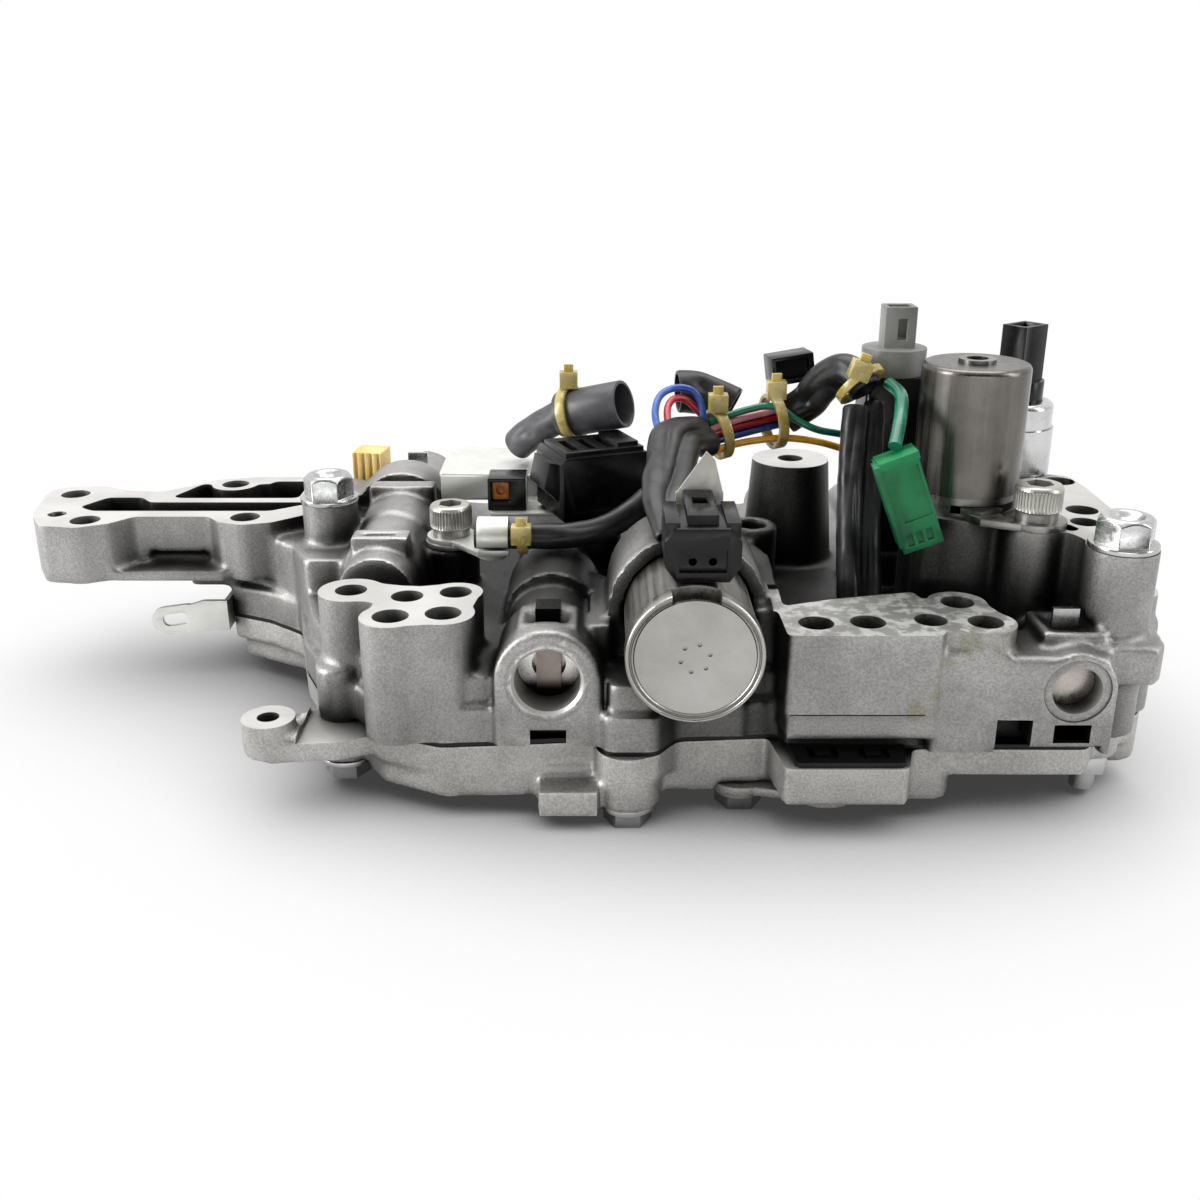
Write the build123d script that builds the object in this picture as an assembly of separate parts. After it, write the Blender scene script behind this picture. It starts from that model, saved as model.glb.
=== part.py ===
from build123d import *
import math
import os

# A hydraulic valve body for an automatic transmission. Millimetres, +Z up.
# The origin is on the surface it stands on, below the middle of its envelope.
# X runs along the long side, Y from the front, where the bores open, to the rear.

# Heights of the castings above the surface
bolt_head_height = 5.0
lower_bottom = 5.8
lower_right_bottom = 12.4
lower_top = 19.2
plate_thickness = 1.2
split = lower_top + plate_thickness
flange_top = 29.0
deck = 36.0
level_a = 50.0
level_b = 65.0
arm_bottom = 33.0
arm_pocket_depth = 13.0
wall_step = 2.0
rear_y = 76.0
rear_boss_y = 82.0

# Clearances
running = 0.05
gap = 0.3
shank_gap = 0.2

# The three valve bores and the manual valve bore: place of the axis, bore and housing
front_bore_x, front_bore_z = 3.0, 36.6
front_bore_radius = 7.6
front_housing_radius = 12.4
front_spool_radius = 6.4
right_bore_x, right_bore_z = 122.4, 36.1
right_bore_radius = 5.6
right_spool_radius = 4.8
left_bore_x, left_bore_z = -42.5, 42.0
left_bore_radius = 7.0
left_spool_radius = 6.0
left_dome_shift = 2.0
manual_x, manual_z = 24.0, 33.0
manual_radius = 5.5
manual_travel = 8.0

# Valve springs
spring_wire = 1.1
spring_turns = 5

# Front solenoid, lying along Y in its cradle
solenoid_x, solenoid_z = 35.7, 47.2
solenoid_radius = 15.0
solenoid_rim = 15.4
solenoid_front = -82.0
solenoid_length = 44.0
cradle_radius = 19.0
nozzle_radius = 6.0

# Upright solenoids
tall_x, tall_y = 106.5, -25.0
tall_radius = 13.0
tall_height = 31.0
tall_flange_height = 5.0
core_radius = 4.5
rear_can_x, rear_can_y = 128.3, 9.2
rear_can_radius = 10.2
rear_can_seat = 52.0
rear_can_top = 84.5
coil_x, coil_y = tall_x - 14.3, 2.0
coil_width = 16.0
coil_seat = 46.0
coil_top = 93.0

# Threaded fasteners
bolt_shank = 4.0
flange_bolt_hex = 12.0
flange_bolt_flange = 7.9
flange_bolt_head = 7.6
cap_screw_shank = 3.0
cap_screw_radius = 5.7
cap_screw_height = 8.6
screw_boss_radius = 7.4
washer_radius = 7.0
washer_thickness = 1.4
bracket_thickness = 1.8
tongue_gap = 1.1
bottom_hex = 10.0
bottom_flange = 6.6
bottom_shank = 3.0
stud_radius = 3.0
stud_hex = 10.0
dowel_radius = 3.0

flange_bolt_left = (-59.7, 5.5)
flange_bolt_left_seat = 57.0
flange_bolt_right = (134.3, -58.8)
cap_screw_left = (-25.4, -2.9)
cap_screw_left_seat = 47.2
cap_screw_right = (tall_x + 12.9, tall_y - 17.3)
stud_place = (133.9, -56.0)
stud_top = 24.0
lug_place = (-63.5, -62.9)
lug_radius = 6.4
lug_top = 24.0
lug_bottom = 15.2
lug_thread = 2.6
case_hole = (142.4, -46.0)
case_boss_radius = 7.0
case_foot_radius = 8.1
case_hole_radius = 3.2
central_boss = (69.2, 20.4)
central_boss_radius = 10.8
central_boss_foot = 13.0
central_hole_radius = 3.5

# Bottom bolts: place and height of the seat
bottom_bolts_at = [(21.5, -68.2), (-12.0, 66.0), (62.0, 66.0), (118.0, 52.0), (-80.0, 42.0)]
cover_bolts_at = [(48.7, -59.5), (74.0, -14.0)]
web_bolt = (-48.0, -50.4)
web_bolt_seat = 8.4
web_bolt_boss = 6.2
web_bolt_top = 33.0
dowels_at = [(-84.0, 26.0), (100.0, 62.0)]

# Port holes in the machined faces: x, y and radius
left_ports = [(-45.0, -46.7, 3.8), (-30.9, -50.8, 3.8), (-19.6, -48.1, 3.8), (-33.0, -63.7, 4.2), (-21.1, -61.8, 4.2)]
right_ports = [(63.8, -67.9, 4.0), (75.6, -67.3, 4.0), (90.1, -66.1, 3.7), (102.3, -67.3, 4.0), (99.0, -54.8, 3.9)]
top_ports = [(134.9, -30.0, 3.9), (132.2, -39.9, 3.4), (138.0, -3.6, 3.9)]
arm_holes = [(-142.1, 35.2, 4.1), (-129.8, 9.3, 4.1), (-85.5, 12.2, 4.1), (-97.0, 46.1, 4.0)]
arm_screw_hole = (-139.9, 15.0)
port_depth = 17.0

# Front wall of the right ports: its ends, front, thin step and lower edge
platform_x = (56.0, 91.0)
platform_front = -75.6
platform_step = 30.2
platform_foot = 24.0

# Plan outline of the castings where they meet
outline = [
    (-92.5, 14.0), (-80.0, 8.0), (-69.0, -1.0), (-61.8, -28.0), (-56.0, -40.5), (-38.5, -63.0),
    (-22.0, -69.5), (14.0, -66.5), (16.0, -74.0), (28.0, -74.0), (33.0, -66.5), (57.0, -64.5),
    (60.0, -70.0), (128.5, -70.5), (133.5, -61.0), (147.0, -52.0), (149.5, -44.0), (143.0, -34.0),
    (141.0, 30.0), (128.0, 60.0), (108.0, 74.0), (-40.0, rear_y), (-72.0, 66.0), (-92.5, 52.0),
]
outline_corner = 3.0


def flat(points, corner=0.0):
    """Closed outline through the points, with every corner rounded."""
    face = make_face(Polyline(*points, close=True))
    if corner:
        face = fillet(face.vertices(), corner)
    return face


def prism(points, low, high, corner=0.0):
    """Upright block with the given plan outline."""
    return Pos(0, 0, low) * extrude(flat(points, corner), amount=high - low)


def post(x, y, radius, low, high):
    """Upright cylinder."""
    return Pos(x, y, (low + high) / 2) * Cylinder(radius, high - low)


def block(x_range, y_range, z_range):
    """Box between two corners."""
    size = [r[1] - r[0] for r in (x_range, y_range, z_range)]
    middle = [(r[0] + r[1]) / 2 for r in (x_range, y_range, z_range)]
    return Pos(*middle) * Box(*size)


def along_y(section, front, rear):
    """A section drawn in X and Z, carried from its front to its rear."""
    plane = Plane(origin=(0, rear, 0), x_dir=(1, 0, 0), z_dir=(0, -1, 0))
    return extrude(plane * section, amount=rear - front)


def rod(x, z, radius, front, rear):
    """Cylinder lying along Y."""
    return along_y(Pos(x, z) * Circle(radius), front, rear)


def tunnel(x, z, radius, front, rear, foot):
    """Round-topped housing lying along Y, with straight sides down to its foot."""
    arch = Pos(x, z) * Circle(radius)
    legs = Pos(x, (z + foot) / 2) * Rectangle(2 * radius, z - foot)
    return along_y(arch + legs, front, rear)


def web(a, b, width):
    """Flat bar with round ends between two plan points."""
    length = math.dist(a, b)
    angle = math.degrees(math.atan2(b[1] - a[1], b[0] - a[0]))
    middle = ((a[0] + b[0]) / 2, (a[1] + b[1]) / 2)
    return Pos(*middle) * Rot(0, 0, angle) * SlotCenterToCenter(length, width)


def channel(points, width, low, high):
    """Oil channel: a round-ended groove that follows the points."""
    path = web(points[0], points[1], width)
    for a, b in zip(points[1:-1], points[2:]):
        path += web(a, b, width)
    return Pos(0, 0, low) * extrude(path, amount=high - low)


def hexagon(x, y, across_flats, low, high):
    """Upright hexagonal prism, with its top edge rounded off by a cone."""
    head = Pos(x, y, low) * extrude(RegularPolygon(across_flats / 2, 6, major_radius=False), amount=high - low)
    return head


# Plan points of the oil channels; the same route is cut in both castings
channels = [
    [(-44, -40), (-44, -22), (-30, -16)],
    [(-30, -50), (-14, -44), (-14, -26), (-30, -4)],
    [(-2, -54), (-2, -20), (12, -10), (12, 12)],
    [(28, -50), (40, -36), (40, -8), (24, 4), (24, 30)],
    [(64, -56), (64, -30), (52, -18), (52, 14)],
    [(84, -58), (84, -28), (98, -14), (98, 20)],
    [(104, -56), (110, -30), (124, -22), (124, 20)],
    [(-76, 20), (-60, 20), (-60, 48), (-30, 48)],
    [(-46, 8), (-20, 24), (-20, 60)],
    [(0, 30), (0, 60), (40, 60), (40, 30), (64, 34), (64, 54)],
    [(80, 30), (80, 62), (104, 44)],
]
channel_width = 4.6
channel_depth = 6.0


def upper_body():
    """Upper casting with the arm, the bore housings and every machined face."""
    deck_face = offset(flat(outline, outline_corner), -wall_step)
    body = prism(outline, split, flange_top, outline_corner)
    body += Pos(0, 0, flange_top) * extrude(deck_face, amount=deck - flange_top)
    body += left_end()
    body += left_platform()
    body += right_platform()
    body += right_block()
    body += housings()
    boss_height = level_b - deck + 1
    body += Pos(*central_boss, level_b - boss_height / 2) * Cone(central_boss_foot, central_boss_radius, boss_height)
    body += post(56.1, -2.4, 7.0, deck - 1, 53.0)
    body += prism([(40, -12), (50, -12), (62, 6), (58, 14), (40, 10)], deck - 1, 46.0, 3)
    body += post(*cap_screw_left, screw_boss_radius, deck - 1, cap_screw_left_seat)
    body += post(cover_post[0], cover_post[1], 5.0, deck - 1, tongue_height)
    body += post(*web_bolt, web_bolt_boss, split, web_bolt_top)
    body -= bores()
    body -= port_holes()
    for points in channels:
        body -= channel(points, channel_width, split - 1, split + channel_depth)
    return body


def left_end():
    """The arm, its root, and the boss of the left flange bolt."""
    arm = [
        (-150.5, 39.5), (-150.5, 33.0), (-146.5, 14.0), (-141.0, 4.0), (-130.0, 2.0), (-122.0, 6.0), (-117.0, 12.5),
        (-96.0, 12.5), (-92.0, 7.5), (-85.0, 4.7), (-77.0, 7.0), (-66.0, 17.0), (-58.0, 20.0),
        (-58.0, 54.0), (-92.0, 54.0), (-104.0, 50.5), (-111.0, 43.0), (-117.0, 37.5), (-128.0, 39.0),
        (-136.0, 43.4), (-146.0, 43.0),
    ]
    root = [(-92.5, 15.0), (-80.0, 10.0), (-70.0, 1.0), (-64.0, -12.0), (-50.0, -12.0), (-50.0, 56.0), (-92.5, 50.0)]
    ledge = [(-128.0, 8.0), (-122.0, 5.0), (-92.0, 5.0), (-86.0, 8.0), (-86.0, 20.0), (-128.0, 20.0)]
    pad = [(-104.0, 14.0), (-90.0, 14.0), (-90.0, 46.0), (-104.0, 42.0)]
    body = prism(arm, arm_bottom, level_a, 2.4)
    body += prism(ledge, arm_bottom, arm_bottom + 3.0, 1.5)
    body += prism(pad, arm_bottom - 4.5, arm_bottom + 1.0, 2.0)
    body += prism(root, split, level_a - 4.5, 2.5)
    body += post(*flange_bolt_left, 7.6, split, flange_bolt_left_seat)
    body += post(-66.5, 4.0, 4.0, split, level_a - 4.5)
    # Long oil slot, wide at its left end, and the rear slot that passes the rear hole
    long_slot = [(-136.0, 22.0), (-131.0, 18.0), (-80.0, 18.0), (-70.5, 25.0), (-71.5, 26.6), (-117.0, 26.6), (-121.0, 31.5), (-131.0, 31.5)]
    rear_slot = [(-112.0, 32.5), (-110.0, 31.0), (-74.5, 31.0), (-74.5, 49.0), (-86.0, 49.0), (-86.0, 46.0), (-107.0, 46.0)]
    pocket_low = level_a - arm_pocket_depth
    cut = prism(long_slot, pocket_low, level_a + 1, 1.2)
    rear = prism(rear_slot, pocket_low, level_a + 1, 1.2)
    rear -= post(arm_holes[3][0], arm_holes[3][1], 7.0, pocket_low - 1, level_a + 2)
    body -= cut
    body -= rear
    body -= block((-114.0, -97.0), (9.8, 14.5), (arm_bottom + 3.0, arm_bottom + 6.5))
    for x, y, radius in arm_holes:
        body -= post(x, y, radius, arm_bottom - 6, level_a + 1)
    body -= post(*arm_screw_hole, 2.1, level_a - 12, level_a + 1)
    body -= Pos(*arm_screw_hole, level_a - 0.9) * Cone(2.1, 3.9, 1.84)
    return body


def left_platform():
    """Front left ported face, carried on round pillars."""
    a, b, c, d, e = [(x, y) for x, y, radius in left_ports]
    face = Pos(*a) * Circle(8.0)
    face += Pos(*b) * Circle(7.0)
    face += Pos(*c) * Circle(6.6)
    face += Pos(*d) * Circle(7.3)
    face += Pos(*e) * Circle(7.4)
    face += web(a, b, 12.5)
    face += web(b, c, 12.0)
    face += web(b, d, 12.5)
    face += web(c, e, 12.0)
    face += web(d, e, 13.2)
    return Pos(0, 0, split) * extrude(face, amount=level_a - split)


def right_platform():
    """Front right ported face; its front wall overhangs the tongue of the plate."""
    left, right = platform_x
    rear_edge = [(right + 2.5, -62.0), (right - 1.0, -48.0), (left + 13.5, -53.0), (left, -58.0)]
    wall = [(left + 0.5, platform_front), (right, platform_front)] + rear_edge
    step = [(left + 1.2, platform_front + 0.4), (right, platform_front + 0.4)] + rear_edge
    skirt = [(left + 2.0, platform_front + 6.0), (right + 1.0, platform_front + 6.0)] + rear_edge
    body = prism(wall, platform_step, level_a, 0.8)
    body += prism(step, platform_foot, platform_step + 1.0, 0.8)
    body += prism(skirt, split, platform_foot + 1.0, 0.8)
    lobes = Pos(right_ports[3][0], right_ports[3][1]) * Circle(7.0)
    lobes += Pos(right_ports[4][0], right_ports[4][1]) * Circle(7.0)
    lobes += web(right_ports[3][:2], right_ports[4][:2], 12.0)
    lobes += web(right_ports[2][:2], right_ports[3][:2], 13.0)
    lobes += web(right_ports[2][:2], right_ports[4][:2], 13.0)
    body += Pos(0, 0, deck - 1) * extrude(lobes, amount=level_a - deck + 1)
    body += prism([(right - 1.0, -56.0), (right - 1.0, -74.2), (107.0, -73.8), (107.0, -52.0)], split, 45.2, 1.5)
    return body


def right_block():
    """Tall right side: the top face, screw bosses, the lug and the case bolt column."""
    top = [
        (tall_x - 12.5, -31.0), (110.0, -37.0), (113.0, -42.5), (124.0, -44.5), (127.0, -51.5), (129.5, -60.0),
        (142.2, -60.0), (143.0, -10.0), (142.0, 1.0), (136.0, 4.0), (117.0, -8.0), (tall_x - 10.5, -8.0),
    ]
    body = prism(top, split + 1, level_b, 2.5)
    body += post(tall_x, tall_y, tall_radius + 2.0, split + 1, level_b)
    body += post(*cap_screw_right, screw_boss_radius, split + 1, level_b)
    body += post(tall_x - 10.5, tall_y - 9.0, 3.4, split + 1, level_b - 6.0)
    body += post(*flange_bolt_right, 8.2, split + 1, level_b)
    body += post(rear_can_x, rear_can_y, rear_can_radius + 2.4, split + 1, rear_can_seat)
    body += post(coil_x, coil_y, coil_width * 0.62, split + 1, coil_seat)
    lug = [(127.0, -69.5), (141.5, -70.0), (144.5, -66.0), (146.0, -52.0), (128.0, -50.0)]
    body += prism(lug, 35.0, 44.5, 1.8)
    body += post(*case_hole, case_boss_radius, split, level_a)
    body += post(*case_hole, case_foot_radius, split, 43.0)
    return body


def housings():
    """Round-topped housings of the bores and the cradle of the front solenoid."""
    body = tunnel(front_bore_x, front_bore_z, front_housing_radius, -71.0, -50.0, split)
    body += tunnel(front_bore_x, front_bore_z, front_housing_radius - 1.6, -51.0, 46.0, split + 1)
    body += block((front_bore_x - 7.0, front_bore_x + 7.0), (-65.0, -52.0), (deck, front_pad_top))
    body -= block((front_bore_x - 5.6, front_bore_x + 5.6), (-63.6, -55.0), (front_pad_top - 1.2, front_pad_top + 4))
    body += rod(front_bore_x, front_bore_z + 1.5, front_housing_radius, -36.0, -12.0)
    # Right bore block
    body += tunnel(right_bore_x, right_bore_z, 9.2, -75.0, -8.0, split)
    body += prism([(104.8, -74.6), (129.5, -74.6), (132.5, -56.0), (104.8, -56.0)], split, 44.0, 1.5)
    body += block((right_bore_x - 6.8, right_bore_x + 8.0), (-68.0, -53.0), (44.0 - 1, right_pad_top))
    # Left housing: stepped rings that grow towards the rear dome
    for radius, front, rear in ((9.8, -29.0, -14.0), (11.2, -15.0, 6.0), (12.2, 5.0, 30.0), (11.0, 29.0, 36.0), (14.6, 35.0, 52.0), (9.4, 51.0, rear_boss_y)):
        centre = left_bore_x - (left_dome_shift if radius > 14 else 0.0)
        body += tunnel(centre, left_bore_z, radius, front, rear, deck - 8)
    body += block((left_bore_x - 7.5, left_bore_x + 7.5), (-20.0, -12.0), (left_bore_z, 54.4))
    body += block((left_bore_x - 9.5, left_bore_x + 9.5), (22.0, 29.0), (left_bore_z, 56.0))
    # Solenoid cradle, with the wall that closes its right side
    body += tunnel(solenoid_x, solenoid_z, cradle_radius, -54.0, -30.0, split + 1)
    body += tunnel(solenoid_x, solenoid_z, nozzle_radius + 4.5, -31.0, 2.0, split + 1)
    body += tunnel(solenoid_x, solenoid_z - 12.0, solenoid_radius - 2.0, -66.0, -50.0, split + 1)
    body += prism([(47.0, -60.0), (57.5, -60.5), (59.0, -20.0), (52.0, 4.0), (47.0, -10.0)], split + 1, level_a, 1.5)
    body += prism([(12.5, -60.0), (17.5, -60.0), (20.0, -30.0), (12.5, -20.0)], split + 1, 46.0, 1.2)
    # Rear housings: one for each bore that ends at the rear
    body += tunnel(manual_x, manual_z, manual_radius + 4.0, 10.0, rear_boss_y, split + 1)
    body += tunnel(72.0, 34.0, 9.0, 34.0, rear_boss_y - 2, split + 1)
    body += tunnel(98.0, 34.0, 8.0, 20.0, rear_boss_y - 2, split + 1)
    return body


def bores():
    """Everything bored along Y, and the slots of the keepers."""
    cut = rod(front_bore_x, front_bore_z, front_bore_radius, -73.0, front_plug_rear + gap)
    cut += rod(front_bore_x, front_bore_z, front_spool_radius + running, front_plug_rear, front_spool_rear + gap)
    cut += rod(right_bore_x, right_bore_z, right_bore_radius, -76.0, right_plug_rear + gap)
    cut += rod(right_bore_x, right_bore_z, right_spool_radius + running, right_plug_rear, right_spool_rear + gap)
    cut += rod(left_bore_x, left_bore_z, left_bore_radius, left_plug_front - gap, rear_boss_y + 1)
    cut += rod(left_bore_x, left_bore_z, left_spool_radius + running, left_spool_front - gap, left_plug_front)
    cut += rod(manual_x, manual_z, manual_radius + running, manual_front - manual_travel / 2 - gap, rear_boss_y + 1)
    cut += rod(solenoid_x, solenoid_z, solenoid_radius + gap, -77.0, solenoid_front + solenoid_length + gap)
    cut += rod(solenoid_x, solenoid_z, nozzle_radius + running, -45.0, solenoid_front + solenoid_length + 30.0)
    # Keeper slots: in at the top, and a window below at the front bores
    cut += block((right_bore_x - 5.0, right_bore_x + 6.2), (-66.4, -54.6), (right_pad_top - 1.4, right_pad_top + 1))
    cut += block(front_slot_x, front_slot_y, (front_bore_z, front_pad_top + 4))
    cut += block(front_slot_x, front_slot_y, (split + 1.8, front_bore_z))
    cut += block((front_bore_x - 3.9, front_bore_x + 3.9), (-72.0, front_slot_y[1]), (split + 1.0, split + 5.0))
    cut += block(right_slot_x, right_slot_y, (right_bore_z, level_a + 1))
    cut += block((right_bore_x - 4.2, right_bore_x + 4.2), (-76.0, -66.0), (23.4, 27.6))
    cut += block((right_bore_x - 17.4, right_bore_x - 9.0), (-76.0, -66.0), (split - 1.0, 29.1))
    cut += block((right_bore_x - 9.1, right_bore_x + 7.4), (-76.0, -71.0), (split - 1.0, 22.6))
    cut += block(left_slot_x, left_slot_y, (left_bore_z, left_bore_z + 16))
    cut += block((left_bore_x - 5.0, left_bore_x + 5.0), (-17.0, -15.4), (51.5, 55))
    cut += block((left_bore_x - 7.0, left_bore_x + 7.0), (24.8, 26.4), (53.0, 57))
    return cut


def port_holes():
    """Ports and screw holes that open in the machined faces."""
    cut = post(*central_boss, central_hole_radius, 30.0, level_b + 1)
    cut += post(56.1, -2.4, 4.0, 40.0, 54.0)
    for x, y, radius in left_ports + right_ports:
        cut += post(x, y, radius, level_a - port_depth, level_a + 1)
    for x, y, radius in top_ports:
        cut += post(x, y, radius, level_b - port_depth, level_b + 1)
    cut += prism([(125.2, -47.5), (129.5, -46.0), (127.5, -41.5), (126.0, -41.0)], level_b - 9, level_b + 1, 0.6)
    cut += post(*case_hole, case_hole_radius, split - 1, level_a + 1)
    cut += post(*case_hole, case_boss_radius + gap, level_a, level_b + 1)
    cut += post(*flange_bolt_left, bolt_shank + shank_gap, split - 1, flange_bolt_left_seat + 1)
    cut += post(*flange_bolt_right, bolt_shank + shank_gap, 26.0, level_b + 1)
    cut += post(*cap_screw_left, cap_screw_shank + shank_gap, 25.0, cap_screw_left_seat + 1)
    cut += post(*cap_screw_right, cap_screw_shank + shank_gap, 44.0, level_b + 1)
    cut += post(*stud_place, stud_radius + shank_gap, split - 1, stud_top + 1)
    for x, y in bottom_bolts_at + cover_bolts_at + [web_bolt]:
        cut += post(x, y, bottom_shank + shank_gap, split - 1, 30.0)
    for x, y in dowels_at:
        cut += post(x, y, dowel_radius + running, split - 1, 28.0)
    cut += post(tall_x, tall_y, 7.0 + running, 44.0, level_b + 1)
    cut += post(rear_can_x, rear_can_y, 6.0 + running, 36.0, rear_can_seat + 1)
    cut += post(rear_can_x, rear_can_y, rear_can_radius + gap, rear_can_seat, level_b + 1)
    cut += post(coil_x, coil_y, 5.0 + running, 34.0, coil_seat + 1)
    return cut


def lower_body():
    """Lower casting: a shallow tray with bolt columns, a stepped right end and the front left lug."""
    body = prism(outline, lower_right_bottom, lower_top, outline_corner)
    deep = [
        (-90.5, 16.0), (-66.0, 2.0), (-58.0, -30.0), (-37.0, -62.0), (-22.0, -69.5), (33.0, -66.5), (57.0, -64.5),
        (60.0, -71.0), (97.0, -70.5), (101.0, -40.0), (126.0, -20.0), (126.0, 54.0), (106.0, 72.0), (-70.0, 64.0), (-90.5, 50.0),
    ]
    body += prism(deep, lower_bottom, lower_right_bottom + 1, 4.0)
    # Ledge that carries the tongue of the plate, and the foot below the front bore
    body += prism([(54.5, -63.0), (57.0, -80.0), (85.0, -80.0), (88.0, -69.0), (88.0, -63.0)], 9.6, lower_top, 1.5)
    body += block((0.6, 14.5), (-75.6, -66.0), (4.4, 10.8))
    # Lug with its web
    body += post(*lug_place, lug_radius, lug_bottom, lug_top)
    body += prism([(-66.0, -57.5), (-50.0, -44.0), (-36.0, -62.0), (-46.0, -66.5), (-64.0, -68.8)], lug_bottom - 1.0, lower_top, 1.5)
    body += post(*web_bolt, 7.2, web_bolt_seat, lower_top)
    for x, y in bottom_bolts_at:
        body += post(x, y, 7.6, bolt_head_height, lower_top)
    body += post(*case_hole, case_boss_radius, 6.4, lower_top)
    body += post(*stud_place, 7.0, lower_right_bottom, lower_top)
    # Relief pockets in the underside leave a grid of ribs
    for x_range, y_range in pockets:
        body -= block(x_range, y_range, (lower_bottom - 1, lower_bottom + 4.2))
    # Seat of the bottom cover
    seat = Pos(0, 0, bolt_head_height - 1) * extrude(offset(cover_face(), gap), amount=1 + cover_thickness)
    body -= seat
    for points in channels:
        body -= channel(points, channel_width, lower_top - channel_depth, lower_top + 1)
    for x, y in bottom_bolts_at + cover_bolts_at + [web_bolt]:
        body -= post(x, y, bottom_shank + shank_gap, 0, lower_top + 1)
    for x, y in dowels_at:
        body -= post(x, y, dowel_radius + running, 12.0, lower_top + 1)
    body -= post(*lug_place, lug_thread, lug_bottom - 2, lug_top + 1)
    body -= post(*web_bolt, bottom_flange + 0.5, 0, web_bolt_seat)
    body -= post(*case_hole, case_hole_radius, 0, lower_top + 1)
    body -= post(*stud_place, stud_radius + shank_gap, 0, lower_top + 1)
    body -= post(*flange_bolt_left, bolt_shank + shank_gap, 8.5, lower_top + 1)
    return body


pockets = [
    ((-72.0, -44.0), (8.0, 34.0)), ((-40.0, -12.0), (-28.0, 2.0)), ((-40.0, -12.0), (8.0, 40.0)),
    ((-6.0, 26.0), (-40.0, -6.0)), ((-6.0, 26.0), (0.0, 48.0)), ((32.0, 58.0), (22.0, 54.0)), ((90.0, 114.0), (12.0, 44.0)),
]
cover_thickness = 2.4


def cover_face():
    """Outline of the bottom cover: a lobe for each screw and one that shows at the front edge."""
    a, b = cover_bolts_at
    lobe = (68.5, -64.5)
    face = Pos(*a) * Circle(8.0)
    face += Pos(*b) * Circle(8.0)
    face += Pos(*lobe) * Circle(8.4)
    face += web(a, lobe, 13.0)
    face += web(a, b, 15.0)
    face += web(lobe, b, 15.0)
    return face


def bottom_cover():
    body = Pos(0, 0, bolt_head_height) * extrude(cover_face(), amount=cover_thickness)
    for x, y in cover_bolts_at:
        body -= post(x, y, bottom_shank + shank_gap, 0, 10)
    return body


def separator_plate():
    """Thin steel plate with bolt holes, orifices and the front tongue with its two U-shaped slots."""
    face = offset(flat(outline, outline_corner), -0.3)
    face += flat([(58.0, -64.0), (59.6, -79.2), (84.0, -79.2), (86.6, -64.0)], 1.0)
    face += Pos(*web_bolt) * Circle(web_bolt_boss - 0.2)
    face += Pos(*stud_place) * Circle(6.0)
    plate = Pos(0, 0, lower_top) * extrude(face, amount=plate_thickness)
    for x in (66.1, 77.8):
        slot = block((x - 3.5, x + 3.5), (-76.6, -70.9), (0, 40)) - block((x - 1.8, x + 1.8), (-75.0, -70.0), (0, 40))
        plate -= slot
    for x, y in bottom_bolts_at + cover_bolts_at + [web_bolt]:
        plate -= post(x, y, bottom_shank + shank_gap, 0, 40)
    for x, y in dowels_at:
        plate -= post(x, y, dowel_radius + running, 0, 40)
    plate -= post(*case_hole, case_hole_radius, 0, 40)
    plate -= post(*stud_place, stud_radius + shank_gap, 0, 40)
    plate -= post(*flange_bolt_left, bolt_shank + shank_gap, 0, 40)
    plate -= block((-94.0, -87.7), (18.7, 25.3), (0, 40))
    for number, points in enumerate(channels):
        for x, y in (points[0], points[-1]):
            plate -= post(x, y, 0.8 + 0.3 * (number % 3), 0, 40)
    return plate


# Places of the valve parts along their bores
front_clip_y = -61.0
front_pad_top = 48.4
clip_thickness = 1.4
front_plug_front = front_clip_y + clip_thickness / 2 + 0.1
front_plug_rear = -50.0
front_spool_front = -34.0
front_spool_rear = 30.0
right_plug_front = -69.5
right_plug_rear = -56.0
right_spool_front = -44.0
right_spool_rear = -12.0
left_plug_front = 52.0
left_plug_rear = 68.0
left_spool_front = -18.0
left_spool_rear = 30.0
manual_front = 22.0
manual_rear = 80.0
clip_width = 5.8
front_slot_x = (front_bore_x - clip_width / 2 - 0.15, front_bore_x + clip_width / 2 + 0.15)
front_slot_y = (front_clip_y - clip_thickness / 2 - 0.1, front_clip_y + clip_thickness / 2 + 0.1)
right_clip_y = -61.0
right_pad_top = 47.6
right_slot_x = (right_bore_x - 3.2, right_bore_x + 3.2)
right_slot_y = (right_clip_y - clip_thickness / 2 - 0.1, right_clip_y + clip_thickness / 2 + 0.1)
left_clip_y = 60.0
left_slot_x = (left_bore_x - 3.2, left_bore_x + 3.2)
left_slot_y = (left_clip_y - clip_thickness / 2 - 0.1, left_clip_y + clip_thickness / 2 + 0.1)


def spool(x, z, radius, front, rear, lands):
    """Sliding valve: full-size lands joined by a thinner stem."""
    length = rear - front
    body = rod(x, z, radius * 0.5, front, rear)
    land = length / (2 * lands - 1)
    for n in range(lands):
        start = front + 2 * n * land
        body += rod(x, z, radius, start, start + land)
    return body


def coil_spring(x, z, radius, front, rear):
    """Compression spring along Y, with open ends."""
    height = rear - front - spring_wire
    pitch = height / spring_turns
    helix = Helix(pitch=pitch, height=height, radius=radius - spring_wire / 2)
    section = Plane(origin=helix @ 0, z_dir=helix % 0) * Circle(spring_wire / 2)
    coil = sweep(section, path=helix, is_frenet=True)
    return Pos(x, front + spring_wire / 2, z) * Rot(-90, 0, 0) * coil


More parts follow.
